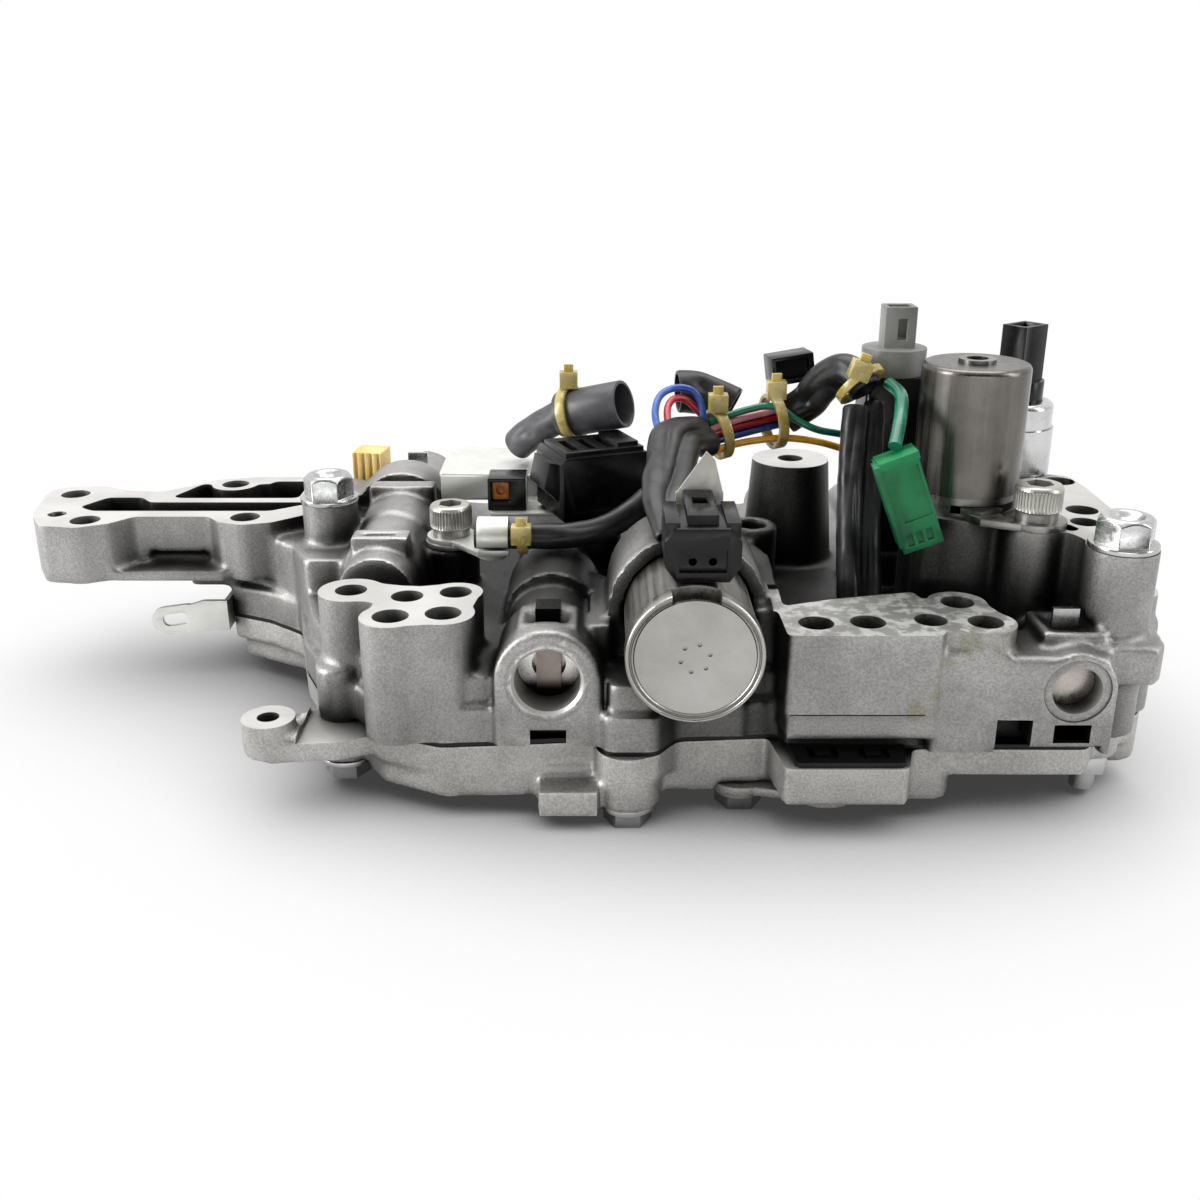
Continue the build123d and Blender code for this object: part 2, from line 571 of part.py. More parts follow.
def front_valve():
    plug = rod(front_bore_x, front_bore_z, front_bore_radius - running, front_plug_front, front_plug_rear)
    plug -= rod(front_bore_x, front_bore_z, 4.0, front_plug_front - 1, front_plug_front + 2.5)
    clip_x = (front_bore_x - clip_width / 2, front_bore_x + clip_width / 2)
    clip_y = (front_clip_y - clip_thickness / 2, front_clip_y + clip_thickness / 2)
    clip_top = front_pad_top + 2.6
    clip = block(clip_x, clip_y, (split + 2.0, clip_top))
    clip += block(clip_x, (clip_y[0], clip_y[1] + 5.0), (clip_top - 1.4, clip_top))
    clip += block(clip_x, (clip_y[1] + 3.6, clip_y[1] + 5.0), (front_pad_top - 1.1, clip_top))
    return {
        "front_plug": plug,
        "front_clip": clip,
        "front_spring": coil_spring(front_bore_x, front_bore_z, 5.4, front_plug_rear, front_spool_front),
        "front_spool": spool(front_bore_x, front_bore_z, front_spool_radius, front_spool_front, front_spool_rear, 4),
    }


def right_valve():
    plug = rod(right_bore_x, right_bore_z, right_bore_radius - running, right_plug_front, right_plug_rear)
    plug -= block(right_slot_x, right_slot_y, (right_bore_z - 1.0, right_bore_z + 8))
    clip_x = (right_slot_x[0] + 0.15, right_slot_x[1] - 0.15)
    clip_y = (right_clip_y - clip_thickness / 2, right_clip_y + clip_thickness / 2)
    clip = block(clip_x, clip_y, (right_bore_z - 0.8, 51.0))
    return {
        "right_plug": plug,
        "right_clip": clip,
        "right_spring": coil_spring(right_bore_x, right_bore_z, 4.2, right_plug_rear, right_spool_front),
        "right_spool": spool(right_bore_x, right_bore_z, right_spool_radius, right_spool_front, right_spool_rear, 3),
    }


def left_valve():
    plug = rod(left_bore_x, left_bore_z, left_bore_radius - running, left_plug_front, left_plug_rear)
    plug -= block(left_slot_x, left_slot_y, (left_bore_z - 1.5, left_bore_z + 10))
    clip_x = (left_slot_x[0] + 0.15, left_slot_x[1] - 0.15)
    clip_y = (left_clip_y - clip_thickness / 2, left_clip_y + clip_thickness / 2)
    clip = block(clip_x, clip_y, (left_bore_z - 1.3, left_bore_z + 14.4))
    return {
        "left_plug": plug,
        "left_clip": clip,
        "left_spring": coil_spring(left_bore_x, left_bore_z, 5.2, left_spool_rear, left_plug_front),
        "left_spool": spool(left_bore_x, left_bore_z, left_spool_radius, left_spool_front, left_spool_rear, 4),
    }


def manual_valve():
    """Valve moved by the selector: its rear end stands out, with a groove for the lever pin."""
    body = spool(manual_x, manual_z, manual_radius, manual_front, 66.0, 4)
    body += rod(manual_x, manual_z, manual_radius * 0.6, 64.0, manual_rear)
    body += rod(manual_x, manual_z, manual_radius, manual_rear - 10.0, manual_rear - 7.0)
    body += rod(manual_x, manual_z, manual_radius, manual_rear - 3.0, manual_rear)
    return body


def front_solenoid():
    rear = solenoid_front + solenoid_length
    can = rod(solenoid_x, solenoid_z, solenoid_rim, solenoid_front, solenoid_front + 5.0)
    can += rod(solenoid_x, solenoid_z, solenoid_radius, solenoid_front + 4.0, rear)
    can -= rod(solenoid_x, solenoid_z, 13.4, solenoid_front - 1, solenoid_front + 1.6)
    # The rim is open at the top, below the connector
    can -= block((solenoid_x - 5.3, solenoid_x + 5.3), (solenoid_front - 1, solenoid_front + 5.6), (58.0, 64.0))
    disc = rod(solenoid_x, solenoid_z, 13.3, solenoid_front + 0.5, solenoid_front + 1.6)
    for n in range(6):
        angle = math.radians(60 * n + 15)
        x = solenoid_x + 3.3 * math.cos(angle)
        z = solenoid_z + 3.3 * math.sin(angle)
        disc -= rod(x, z, 0.5, solenoid_front - 1, solenoid_front + 0.9)
    nozzle = rod(solenoid_x, solenoid_z, nozzle_radius, rear, rear + 29.0)
    for start in (6.0, 13.0, 20.0):
        ring = rod(solenoid_x, solenoid_z, nozzle_radius + 1, rear + start, rear + start + 3.0)
        nozzle -= ring - rod(solenoid_x, solenoid_z, nozzle_radius - 1.4, rear + start - 1, rear + start + 4.0)
    return {"front_solenoid_can": can, "front_solenoid_disc": disc, "front_solenoid_nozzle": nozzle}


# Front connector: stands on the can behind the rim, with the latch frame of the plug on top
connector_width = 16.6
connector_front = -75.5
connector_rear = -57.0
connector_low = solenoid_z + solenoid_radius + 0.3
connector_high = 74.6


def front_connector():
    half = connector_width / 2
    x = solenoid_x + 1.6
    side = [(x - half + 2.5, connector_low), (x + half - 2.5, connector_low), (x + half, connector_low + 3.5), (x + half, connector_high - 3.0)]
    side += [(x + half - 2.5, connector_high), (x - half + 2.5, connector_high), (x - half, connector_high - 3.0), (x - half, connector_low + 3.5)]
    section = make_face(Polyline(*side, close=True))
    body = along_y(section, connector_front, connector_rear)
    body -= block((x - 5.2, x + 5.2), (connector_front - 1, connector_front + 1.6), (connector_low + 2.2, connector_high - 4.6))
    for dx in (-2.2, 2.2):
        body -= rod(x + dx, connector_low + 4.2, 0.9, connector_front - 1, connector_front + 6.0)
    # Latch on top, raised on two rails, with its square window
    latch = block((x - 3.4, x + 3.4), (connector_front + 3.0, connector_rear + 4.0), (connector_high - 0.5, connector_high + 2.2))
    latch -= block((x - 1.7, x + 1.7), (connector_front + 12.0, connector_front + 17.0), (connector_high - 2, connector_high + 3))
    body += latch
    for dx in (-6.6, 6.6):
        body += block((x + dx - 1.6, x + dx + 1.6), (connector_front + 2.0, connector_rear), (connector_high - 3.2, connector_high + 0.8))
    return body


def front_latch_sheet():
    """Bent bright sheet behind the front connector: it stands on the cradle."""
    x = solenoid_x + 2.2
    foot = solenoid_z + cradle_radius + gap
    sheet = block((x - 5.5, x + 5.5), (-52.0, -42.0), (foot, foot + 1.0))
    sheet += block((x - 5.5, x + 5.5), (-52.0, -51.0), (foot, foot + 9.5))
    upper = [(x - 5.5, foot + 9.0), (x + 5.5, foot + 9.0), (x + 3.4, foot + 17.0), (x + 1.4, foot + 19.0)]
    sheet += along_y(make_face(Polyline(*upper, close=True)), -52.0, -51.0)
    return sheet


def tall_solenoid():
    """Upright steel can on a turned core: nozzle, flange, and the ring that stands out at the top."""
    low = level_b + tall_flange_height
    can = post(tall_x, tall_y, tall_radius, low, low + tall_height)
    can = fillet(can.edges().group_by(Axis.Z)[-1], 1.4)
    can -= post(tall_x, tall_y, core_radius + running, low - 1, low + tall_height + 1)
    core = post(tall_x, tall_y, core_radius, low - 1, low + tall_height + 0.9)
    core += post(tall_x, tall_y, tall_radius - 0.6, level_b, low)
    core += post(tall_x, tall_y, 7.0, 46.0, level_b + 1)
    core -= post(tall_x, tall_y, 2.6, low + tall_height - 4, low + tall_height + 2)
    core -= block((tall_x - 6.0, tall_x + 16.0), (tall_y - 16.0, tall_y - 2.0), (level_b + tongue_gap - 0.1, level_b + tongue_gap + bracket_thickness + 0.1))
    return {"tall_solenoid_can": can, "tall_solenoid_core": core}


def rear_solenoid():
    """Silver can with rolled shoulders; its square connector is open at the top."""
    can = post(rear_can_x, rear_can_y, rear_can_radius, rear_can_seat, rear_can_top - 7.0)
    can += post(rear_can_x, rear_can_y, rear_can_radius - 0.6, rear_can_top - 8.0, rear_can_top)
    can = fillet(can.edges().filter_by(GeomType.CIRCLE).group_by(Axis.Z)[-1], 1.6)
    can += post(rear_can_x, rear_can_y, 6.0, 38.0, rear_can_seat + 1)
    can -= post(rear_can_x, rear_can_y, 6.6, rear_can_top - 3.0, rear_can_top + 1)
    collar = post(rear_can_x, rear_can_y, 6.5, rear_can_top - 2.9, rear_can_top + 5.5)
    socket = Pos(rear_can_x, rear_can_y, rear_can_top + 12.4) * Rot(0, 0, 38) * Box(9.6, 7.6, 15.4)
    hollow = Pos(rear_can_x, rear_can_y, rear_can_top + 15.4) * Rot(0, 0, 38) * Box(7.4, 5.4, 12.0)
    return {"rear_solenoid_can": can, "rear_solenoid_connector": collar + socket - hollow}


def coil_unit():
    """Black coil body with a round grey cap and an open grey connector."""
    half = coil_width / 2
    body = block((coil_x - half, coil_x + half), (coil_y - half, coil_y + half), (coil_seat, coil_top))
    body = fillet(body.edges().filter_by(Axis.Z), 2.0)
    body += post(coil_x, coil_y, 5.0, 36.0, coil_seat + 1)
    cap = post(coil_x, coil_y, 8.4, coil_top, coil_top + 7.0)
    cap += block((coil_x - 3.6, coil_x + 4.6), (coil_y - 3.6, coil_y + 3.6), (coil_top + 6, coil_top + 17.6))
    cap -= block((coil_x - 2.4, coil_x + 3.4), (coil_y - 2.4, coil_y + 2.4), (coil_top + 9, coil_top + 19))
    cap -= block((coil_x - 0.2, coil_x + 2.2), (coil_y - 4.6, coil_y - 2.0), (coil_top + 9, coil_top + 14.5))
    return {"coil_body": body, "coil_connector_cap": cap}


def solenoid_bracket():
    """Bent plate clamped by the right cap screw; its tongue holds the tall solenoid down."""
    x, y = cap_screw_right
    plate = Pos(x, y) * Circle(screw_boss_radius - 0.2)
    plate += make_face(Polyline((x - 7.2, y + 1.0), (x - 5.0, y - 5.4), (x - 13.5, y - 1.0), (x - 16.0, y + 3.5), (x - 8.0, y + 7.0), close=True))
    body = Pos(0, 0, level_b) * extrude(plate, amount=bracket_thickness)
    tongue = make_face(Polyline((x - 7.0, y + 4.0), (x - 13.0, y + 0.5), (x - 17.0, y + 4.5), (x - 11.0, y + 9.5), close=True))
    body += Pos(0, 0, level_b + tongue_gap) * extrude(tongue, amount=bracket_thickness)
    body -= post(x, y, cap_screw_shank + shank_gap, level_b - 1, level_b + 5)
    body -= post(tall_x, tall_y, tall_radius - 0.6 + gap, level_b - 1, level_b + tongue_gap - 0.05)
    return body


def flange_bolt(x, y, seat, shank_end):
    """Hexagon head with a dished top on a round flange."""
    head = post(x, y, flange_bolt_flange, seat, seat + 1.4)
    hexagonal = hexagon(x, y, flange_bolt_hex, seat + 1, seat + flange_bolt_head)
    chamfer_cone = Pos(x, y, seat + flange_bolt_head - 6.0) * Cone(flange_bolt_hex * 1.46, flange_bolt_hex * 0.46, 12.0)
    head += hexagonal & chamfer_cone
    head -= Pos(x, y, seat + flange_bolt_head - 0.5) * Cone(2.6, 4.6, 2.0)
    head += post(x, y, bolt_shank, shank_end, seat + 1)
    return head


def cap_screw(x, y, seat, shank_end):
    """Socket head cap screw with its neck."""
    head = post(x, y, cap_screw_radius, seat + 2.2, seat + cap_screw_height)
    head = fillet(head.edges().group_by(Axis.Z)[-1], 0.8)
    head += post(x, y, cap_screw_radius - 0.7, seat, seat + 3)
    head -= hexagon(x, y, 5.0, seat + 4.4, seat + cap_screw_height + 1)
    head += post(x, y, cap_screw_shank, shank_end, seat + 1)
    return head


def bottom_bolt(x, y, seat, shank_end=29.0):
    """Small flange bolt put in from below; the group of them carries the body."""
    head = post(x, y, bottom_flange, seat - 1.3, seat)
    head += hexagon(x, y, bottom_hex, seat - bolt_head_height, seat - 1)
    head += post(x, y, bottom_shank, seat - 1, shank_end)
    return head


def fasteners():
    right_seat = level_b
    flange_bolts = flange_bolt(*flange_bolt_left, flange_bolt_left_seat, 10.0)
    flange_bolts = Compound(children=[flange_bolts, flange_bolt(*flange_bolt_right, right_seat, 27.0)])
    left_screw = cap_screw(*cap_screw_left, cap_screw_left_seat + 2 * washer_thickness, 27.0)
    right_screw = cap_screw(*cap_screw_right, right_seat + bracket_thickness, 45.0)
    washer = post(*cap_screw_left, washer_radius, cap_screw_left_seat, cap_screw_left_seat + washer_thickness)
    washer -= post(*cap_screw_left, cap_screw_shank + shank_gap, 0, 80)
    bottoms = [bottom_bolt(x, y, bolt_head_height) for x, y in bottom_bolts_at + cover_bolts_at]
    bottoms += [bottom_bolt(*web_bolt, web_bolt_seat)]
    stud = post(*stud_place, stud_radius, 2.4, stud_top)
    nut = hexagon(*stud_place, stud_hex, lower_right_bottom - 5.0, lower_right_bottom)
    nut -= post(*stud_place, stud_radius + running, 0, 30)
    dowels = [post(x, y, dowel_radius, 12.5, 27.5) for x, y in dowels_at]
    return {
        "flange_bolts": flange_bolts,
        "cap_screws": Compound(children=[left_screw, right_screw]),
        "cap_screw_washer": washer,
        "bottom_bolts": Compound(children=bottoms),
        "stud": stud,
        "stud_nut": nut,
        "dowel_pins": Compound(children=dowels),
    }


# Harness brackets and connectors
cover_post = (16.0, 9.0)
tongue_height = 53.0
sheet = 1.0
cover_top = tongue_height + 6.6
main_place = (13.2, 5.8)
main_turn = 22
main_width = 26.4
main_depth = 20.0
main_height = 18.0
mouth_height = tongue_height + sheet + main_height + 4.4
hang_x = tall_x - 25.5


def sheet_cover():
    """Bright bent cover; its tongue runs below the main connector and carries it."""
    top = [(-31.0, 20.0), (-2.0, 18.0), (-2.0, 46.0), (-28.0, 52.0), (-31.0, 44.0)]
    body = prism(top, cover_top, cover_top + sheet, 1.0)
    body += block((-30.5, -2.5), (18.9, 18.9 + sheet), (tongue_height, cover_top + sheet / 2))
    body += block((-28.6, -28.6 + sheet), (20.0, 44.0), (deck, cover_top + sheet / 2))
    body += block((-15.0, 26.0), (3.0, 18.9 + sheet), (tongue_height, tongue_height + sheet))
    return body


def main_connector():
    """Block turned on the tongue, with a raised cover, a slanting side latch and a key on its front."""
    half = main_width / 2
    front = -main_depth / 2
    rear = main_depth / 2
    body = block((-half, half), (front, rear), (0, main_height))
    body = chamfer(body.edges().filter_by(Axis.Y), 1.6)
    body = chamfer(body.edges().filter_by(Axis.Z), 0.8)
    side = [(1.0 - half, 5.0), (-4.0 - half, 10.0), (-2.4 - half, main_height - 1.0), (1.0 - half, main_height - 2.0)]
    body += along_y(make_face(Polyline(*side, close=True)), front + 2.0, rear - 6.0)
    body += block((2.0 - half, half - 2.0), (front + 1.5, rear - 1.5), (main_height - 0.5, main_height + 1.2))
    body += block((half - 9.0, half - 3.0), (front + 3.0, rear - 3.0), (main_height + 0.5, main_height + 2.4))
    for n in range(3):
        start = 4.5 - half + 5.2 * n
        body -= block((start, start + 2.4), (front + 4.0, rear - 5.0), (main_height - 0.4, main_height + 2))
    body -= block((4.0 - half, half - 4.0), (front - 1, front + 0.8), (3.0, 6.0))
    body += block((half - 0.5, half + 0.9), (front + 4.0, front + 9.0), (4.0, 12.0))
    return Pos(*main_place, tongue_height + sheet) * Rot(0, 0, main_turn) * body


def small_fittings():
    """Connectors, the terminal in its holder, the steel clip and the left tab."""
    lean = Pos(hang_x + 7.4, -42.0, 71.1) * Rot(0, -21, 0)
    green = lean * Box(9.8, 7.0, 23.2)
    green += lean * Pos(-5.0, -1.6, 1.0) * Box(1.2, 5.4, 21.0)
    green += lean * Pos(0.4, -0.4, 11.2) * Box(9.6, 7.8, 1.8)
    green -= lean * Pos(0.8, -3.6, 2.4) * Box(6.8, 1.4, 13.0)
    for dx in (-2.6, -0.2, 2.2):
        green -= lean * Pos(dx, -3.4, -8.6) * Box(1.5, 1.4, 3.0)
    turn = Pos(-57.6, 62.0, 50.0) * Rot(0, 0, -8)
    cream = turn * Box(9.6, 10.0, 14.0)
    cream += block((-60.6, -54.6), (59.0, 65.0), (deck, 43.5))
    for dx in (-3.6, -1.2, 1.2, 3.6):
        cream -= turn * Pos(dx, -5.0, 1.5) * Box(0.9, 1.4, 11.0)
    tilt = Pos(66.2, 10.8, 92.9) * Rot(0, -8, 8)
    small = tilt * Box(11.6, 9.0, 7.6)
    small -= tilt * Pos(0, -4.2, 0) * Box(8.8, 5.0, 5.0)
    low = tongue_height + sheet
    holder = block((-16.0, -5.4), (5.0, 15.0), (low, low + 9.2))
    holder -= block((-15.0, -10.0), (4.0, 13.0), (low + 2.5, low + 8.0))
    amber = block((-14.8, -10.2), (7.0, 12.9), (low + 2.7, low + 7.8))
    amber -= rod(-12.5, low + 5.2, 1.2, 6.0, 9.0)
    return {
        "green_connector": green,
        "cream_connector": cream,
        "small_connector": small,
        "terminal_holder": holder,
        "amber_terminal": amber,
    }


def wire_clip():
    """Steel strap clamped by the left cap screw; it curls round the sleeve at its free end."""
    x, y = cap_screw_left
    low = cap_screw_left_seat + washer_thickness
    plate = Pos(x, y) * Circle(6.6)
    plate += web((x, y), (-13.0, -18.0), 7.0)
    body = Pos(0, 0, low) * extrude(plate, amount=washer_thickness)
    body -= post(x, y, cap_screw_shank + shank_gap, 0, 80)
    curl = Circle(5.2) - Circle(4.0)
    curl -= Pos(-4.5, -4.0) * Rectangle(4.0, 5.0)
    plane = Plane(origin=(-16.6, -19.6, 54.7), x_dir=(0, 1, 0), z_dir=(1, 0, 0))
    body += extrude(plane * curl, amount=8.0)
    return body


def left_tab():
    """Light steel tab with an oblong hole: its bent end is clamped in the joint of the castings."""
    section = Pos(-107.6, 19.6) * Rot(0, 0, 8) * SlotCenterToCenter(6.5, 8.4)
    section += make_face(Polyline((-105.0, 15.7), (-92.7, 16.2), (-92.7, 25.4), (-99.5, 25.4), (-105.0, 23.6), close=True))
    section -= Pos(-108.0, 19.6) * Rot(0, 0, 8) * SlotCenterToCenter(4.0, 3.6)
    body = along_y(section, 10.0, 11.2)
    body += block((-93.9, -92.7), (10.0, 26.0), (16.4, 25.0))
    body += block((-93.0, -88.0), (19.0, 25.0), (lower_top, split))
    return body


def route_path(points):
    """Straight runs joined by arcs as large as the shorter run beside each corner allows."""
    radii = []
    for a, b, c in zip(points, points[1:], points[2:]):
        first = Vector(*b) - Vector(*a)
        second = Vector(*c) - Vector(*b)
        turn = first.get_angle(second)
        shorter = min(first.length, second.length)
        radii.append(0.45 * shorter / math.tan(math.radians(turn / 2)))
    return FilletPolyline(*points, radius=radii), radii


def tube(points, radius):
    """Round solid along a route."""
    path, radii = route_path(points)
    section = Plane(origin=path @ 0, z_dir=path % 0) * Circle(radius)
    return sweep(section, path=path), radii


# Routes of the sleeves and wires: points, then radius
routes = {
    "clip_sleeve": ([(-17.5, -19.6, 54.8), (-6.0, -19.6, 54.8), (8.0, -19.0, 54.4), (20.0, -17.0, 57.0), (28.0, -12.0, 63.0)], 3.4),
    "front_sleeve": ([(31.5, -48.5, 73.2), (28.5, -36.0, 74.4), (29.5, -22.0, 77.5), (36.0, -11.0, 80.5), (42.5, -4.5, 77.0)], 5.0),
    "wire_boot": ([(36.0, 8.4, 86.6), (43.5, 9.4, 87.0), (51.0, 7.0, 83.0)], 6.0),
    "left_sleeve": ([(-9.5, 35.0, cover_top + 5.4), (-3.0, 29.5, mouth_height - 3.9), (5.0, 24.9, mouth_height)], 4.8),
    "loop_sleeve": ([(64.8, 3.8, 80.8), (70.6, 3.0, 84.4), (72.6, -1.6, 90.4), (hang_x - 4.8, -6.6, 95.2), (hang_x - 1.4, -10.4, 95.4), (hang_x + 1.2, -13.2, 91.5)], 5.0),
    "sleeve_front_run": ([(hang_x - 1.3, -15.2, 87.6), (hang_x - 2.9, -22.0, 76.0), (hang_x - 4.3, -33.0, 58.0), (hang_x - 4.5, -41.0, 44.0), (hang_x - 4.5, -43.0, 37.4)], 3.3),
    "sleeve_rear_run": ([(hang_x + 4.4, -11.0, 87.6), (hang_x + 2.7, -17.8, 76.0), (hang_x + 1.3, -28.8, 58.0), (hang_x + 1.1, -36.8, 44.0), (hang_x + 1.1, -38.8, 37.4)], 3.3),
    "green_lead": ([(hang_x + 7.4, -12.6, 93.0), (hang_x + 8.6, -22.0, 92.5), (hang_x + 6.0, -34.0, 89.5), (hang_x + 3.4, -41.4, 84.1)], 1.6),
}
wire_radius = 0.95
wire_routes = {
    "green_wire": [[(43.9, -3.1, 81.0), (52.0, -0.6, 83.2), (61.0, -0.6, 85.4), (70.0, -4.6, 79.5), (83.8, 2.0, 75.8)]],
    "pink_wire": [[(43.4, -3.6, 78.9), (52.0, 0.1, 81.1), (62.4, 2.9, 82.9)]],
    "red_wire": [[(42.9, -4.1, 76.8), (52.0, 0.0, 79.0), (63.8, 3.3, 81.1)], [(32.8, -7.8, 84.6), (33.4, -3.4, 86.6), (37.0, -1.0, 87.0), (40.0, -0.6, 84.6), (43.3, -0.6, 81.0)]],
    "blue_wire": [[(42.5, -4.5, 74.7), (52.0, 0.0, 76.9), (64.0, 3.2, 79.0)], [(30.4, -10.0, 83.4), (30.0, -4.0, 87.4), (34.0, -0.8, 89.8), (39.6, -1.0, 89.4), (42.4, -1.6, 84.4)]],
    "yellow_wire": [[(42.1, -4.9, 72.6), (52.0, -0.6, 74.8), (64.0, 0.6, 76.0), (74.0, 1.4, 74.6), (83.8, 4.0, 71.0)]],
}


def harness():
    pieces = {}
    for name, (points, radius) in routes.items():
        pieces[name], radii = tube(points, radius)
        print(name, "arc radii", [round(r, 1) for r in radii])
    for name, runs in wire_routes.items():
        wires = []
        for points in runs:
            wire, radii = tube(points, wire_radius)
            print(name, "arc radii", [round(r, 1) for r in radii])
            wires.append(wire)
        pieces[name] = Compound(children=wires) if len(wires) > 1 else wires[0]
    # Open sleeve: a hollow end that the left sleeve runs into
    mouth = Plane(origin=(4.2, 25.4, mouth_height), z_dir=(19.0, -9.0, 5.4))
    pieces["open_sleeve"] = extrude(mouth * (Circle(6.6) - Circle(5.6)), amount=20.0)
    return pieces


def tie_head(x, y, z, angle):
    """Nylon head of a tie with its cut end."""
    head = Pos(x, y, z) * Rot(0, angle, 0) * Box(5.0, 4.4, 4.6)
    head += Pos(x, y, z) * Rot(0, angle, 0) * Pos(0, 0, 3.0) * Box(2.6, 1.4, 2.6)
    return head


def band(place, direction, inner, width=2.6):
    """Loop of a tie round a sleeve or a bundle."""
    plane = Plane(origin=place, z_dir=direction)
    ring = Circle(inner + 1.1) - Circle(inner)
    return extrude(plane * ring, amount=width / 2, both=True)


def cable_ties():
    ties = [
        band((46.5, -1.9, 77.6), (8.8, 3.4, 1.6), 5.8) + tie_head(45.9, -3.8, 86.3, 0),
        band((61.4, 1.6, 80.2), (9.0, 2.6, 1.0), 6.4) + tie_head(61.6, 0.6, 88.8, 0),
        band((hang_x + 0.1, -12.15, 92.9), (3.6, -3.4, -4.5), 5.7, 2.0) + tie_head(hang_x - 1.5, -18.9, 97.7, 20),
        band((7.2, 23.98, mouth_height + 0.85), (19.0, -9.0, 5.4), 6.8) + tie_head(6.2, 23.4, mouth_height + 10.5, 0),
        band((-5.0, -19.6, 54.8), (1.0, 0.0, 0.0), 3.55) + tie_head(-5.0, -25.6, 57.2, 0),
    ]
    return Compound(children=ties)


def parts():
    made = {
        "upper_body": upper_body(),
        "lower_body": lower_body(),
        "separator_plate": separator_plate(),
        "bottom_cover": bottom_cover(),
        "manual_valve": manual_valve(),
        "front_solenoid_connector": front_connector(),
        "front_latch_sheet": front_latch_sheet(),
        "solenoid_bracket": solenoid_bracket(),
        "sheet_cover": sheet_cover(),
        "main_connector": main_connector(),
        "wire_clip": wire_clip(),
        "left_tab": left_tab(),
        "cable_ties": cable_ties(),
    }
    for group in (front_valve(), right_valve(), left_valve(), front_solenoid(), tall_solenoid()):
        made.update(group)
    for group in (rear_solenoid(), coil_unit(), fasteners(), small_fittings(), harness()):
        made.update(group)
    return made


os.makedirs("parts", exist_ok=True)
for name, shape in parts().items():
    export_step(shape, "parts/" + name + ".step")
    print(name, len(shape.solids()), round(shape.volume))
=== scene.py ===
import bpy
import bmesh
import math
import numpy as np
from mathutils import Matrix, Vector


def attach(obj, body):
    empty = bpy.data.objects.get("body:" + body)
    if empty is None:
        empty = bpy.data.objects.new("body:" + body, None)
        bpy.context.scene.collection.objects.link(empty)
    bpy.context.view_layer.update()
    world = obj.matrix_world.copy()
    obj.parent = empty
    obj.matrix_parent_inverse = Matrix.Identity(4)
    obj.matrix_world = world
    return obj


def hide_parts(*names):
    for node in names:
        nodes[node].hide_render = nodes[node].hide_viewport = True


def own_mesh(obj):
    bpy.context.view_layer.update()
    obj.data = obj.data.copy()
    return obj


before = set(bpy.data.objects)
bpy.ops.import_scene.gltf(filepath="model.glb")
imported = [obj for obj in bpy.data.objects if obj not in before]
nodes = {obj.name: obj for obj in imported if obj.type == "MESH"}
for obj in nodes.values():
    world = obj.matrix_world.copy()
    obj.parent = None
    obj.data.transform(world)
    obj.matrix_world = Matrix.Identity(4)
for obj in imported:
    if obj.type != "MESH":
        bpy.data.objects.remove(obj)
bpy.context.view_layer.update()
mm = 0.001
mainBody = "valve_body"

# Camera: above the front, a little right of the middle, looking down on the bores
cameraSettings = {
    "place": (15.0, -340.0, 160.0), "tilt": 69.0, "lens": 39.0, "sensor": 36.0, "clip": (0.01, 20.0),
}
cameraData = bpy.data.cameras.new("camera")
cameraData.lens = cameraSettings["lens"]
cameraData.sensor_width = cameraSettings["sensor"]
cameraData.clip_start, cameraData.clip_end = cameraSettings["clip"]
cameraObject = bpy.data.objects.new("camera", cameraData)
bpy.context.scene.collection.objects.link(cameraObject)
cameraObject.location = [value * mm for value in cameraSettings["place"]]
cameraObject.rotation_euler = (math.radians(cameraSettings["tilt"]), 0.0, 0.0)
bpy.context.scene.camera = cameraObject
bpy.context.scene.view_settings.view_transform = "Standard"


# Small tools for nodes and colours

def linear(code):
    channels = [int(code[i:i + 2], 16) / 255 for i in (1, 3, 5)]
    return tuple(c / 12.92 if c <= 0.04045 else ((c + 0.055) / 1.055) ** 2.4 for c in channels) + (1.0,)


# One node with its settings; an input takes a value or the socket that feeds it, and one output comes back
def addNode(tree, kind, inputs=None, output=0, **settings):
    node = tree.nodes.new(kind)
    for name, value in settings.items():
        setattr(node, name, value)
    for name, value in (inputs or {}).items():
        socket = node.inputs[name]
        if isinstance(value, bpy.types.NodeSocket):
            tree.links.new(value, socket)
        else:
            socket.default_value = value
    return node.outputs[output]


def newMaterial(name):
    material = bpy.data.materials.new(name)
    material.use_nodes = True
    tree = material.node_tree
    return material, tree, tree.nodes["Principled BSDF"]


# Sockets of a Mix node for colours: its share, both colours and its result, which go by number
mixShare, mixBelow, mixAbove, mixResult = 0, 6, 7, 2


# Layers over a base colour: each runs softly from one value of its pattern to another, and lays on a tint
# by the share that it gives or, without a tint, darkens or brightens by that share
def layered(tree, base, layers):
    colour = linear(base)
    for pattern, start, end, low, high, tint in layers:
        inputs = {"Value": pattern, "From Min": start, "From Max": end, "To Min": low, "To Max": high}
        share = addNode(tree, "ShaderNodeMapRange", inputs, interpolation_type="SMOOTHSTEP")
        if tint:
            inputs = {mixShare: share, mixBelow: colour, mixAbove: linear(tint)}
            colour = addNode(tree, "ShaderNodeMix", inputs, mixResult, data_type="RGBA")
        else:
            inputs = {mixShare: 1.0, mixBelow: colour, mixAbove: share}
            colour = addNode(tree, "ShaderNodeMix", inputs, mixResult, data_type="RGBA",
                             blend_type="MULTIPLY")
    return colour


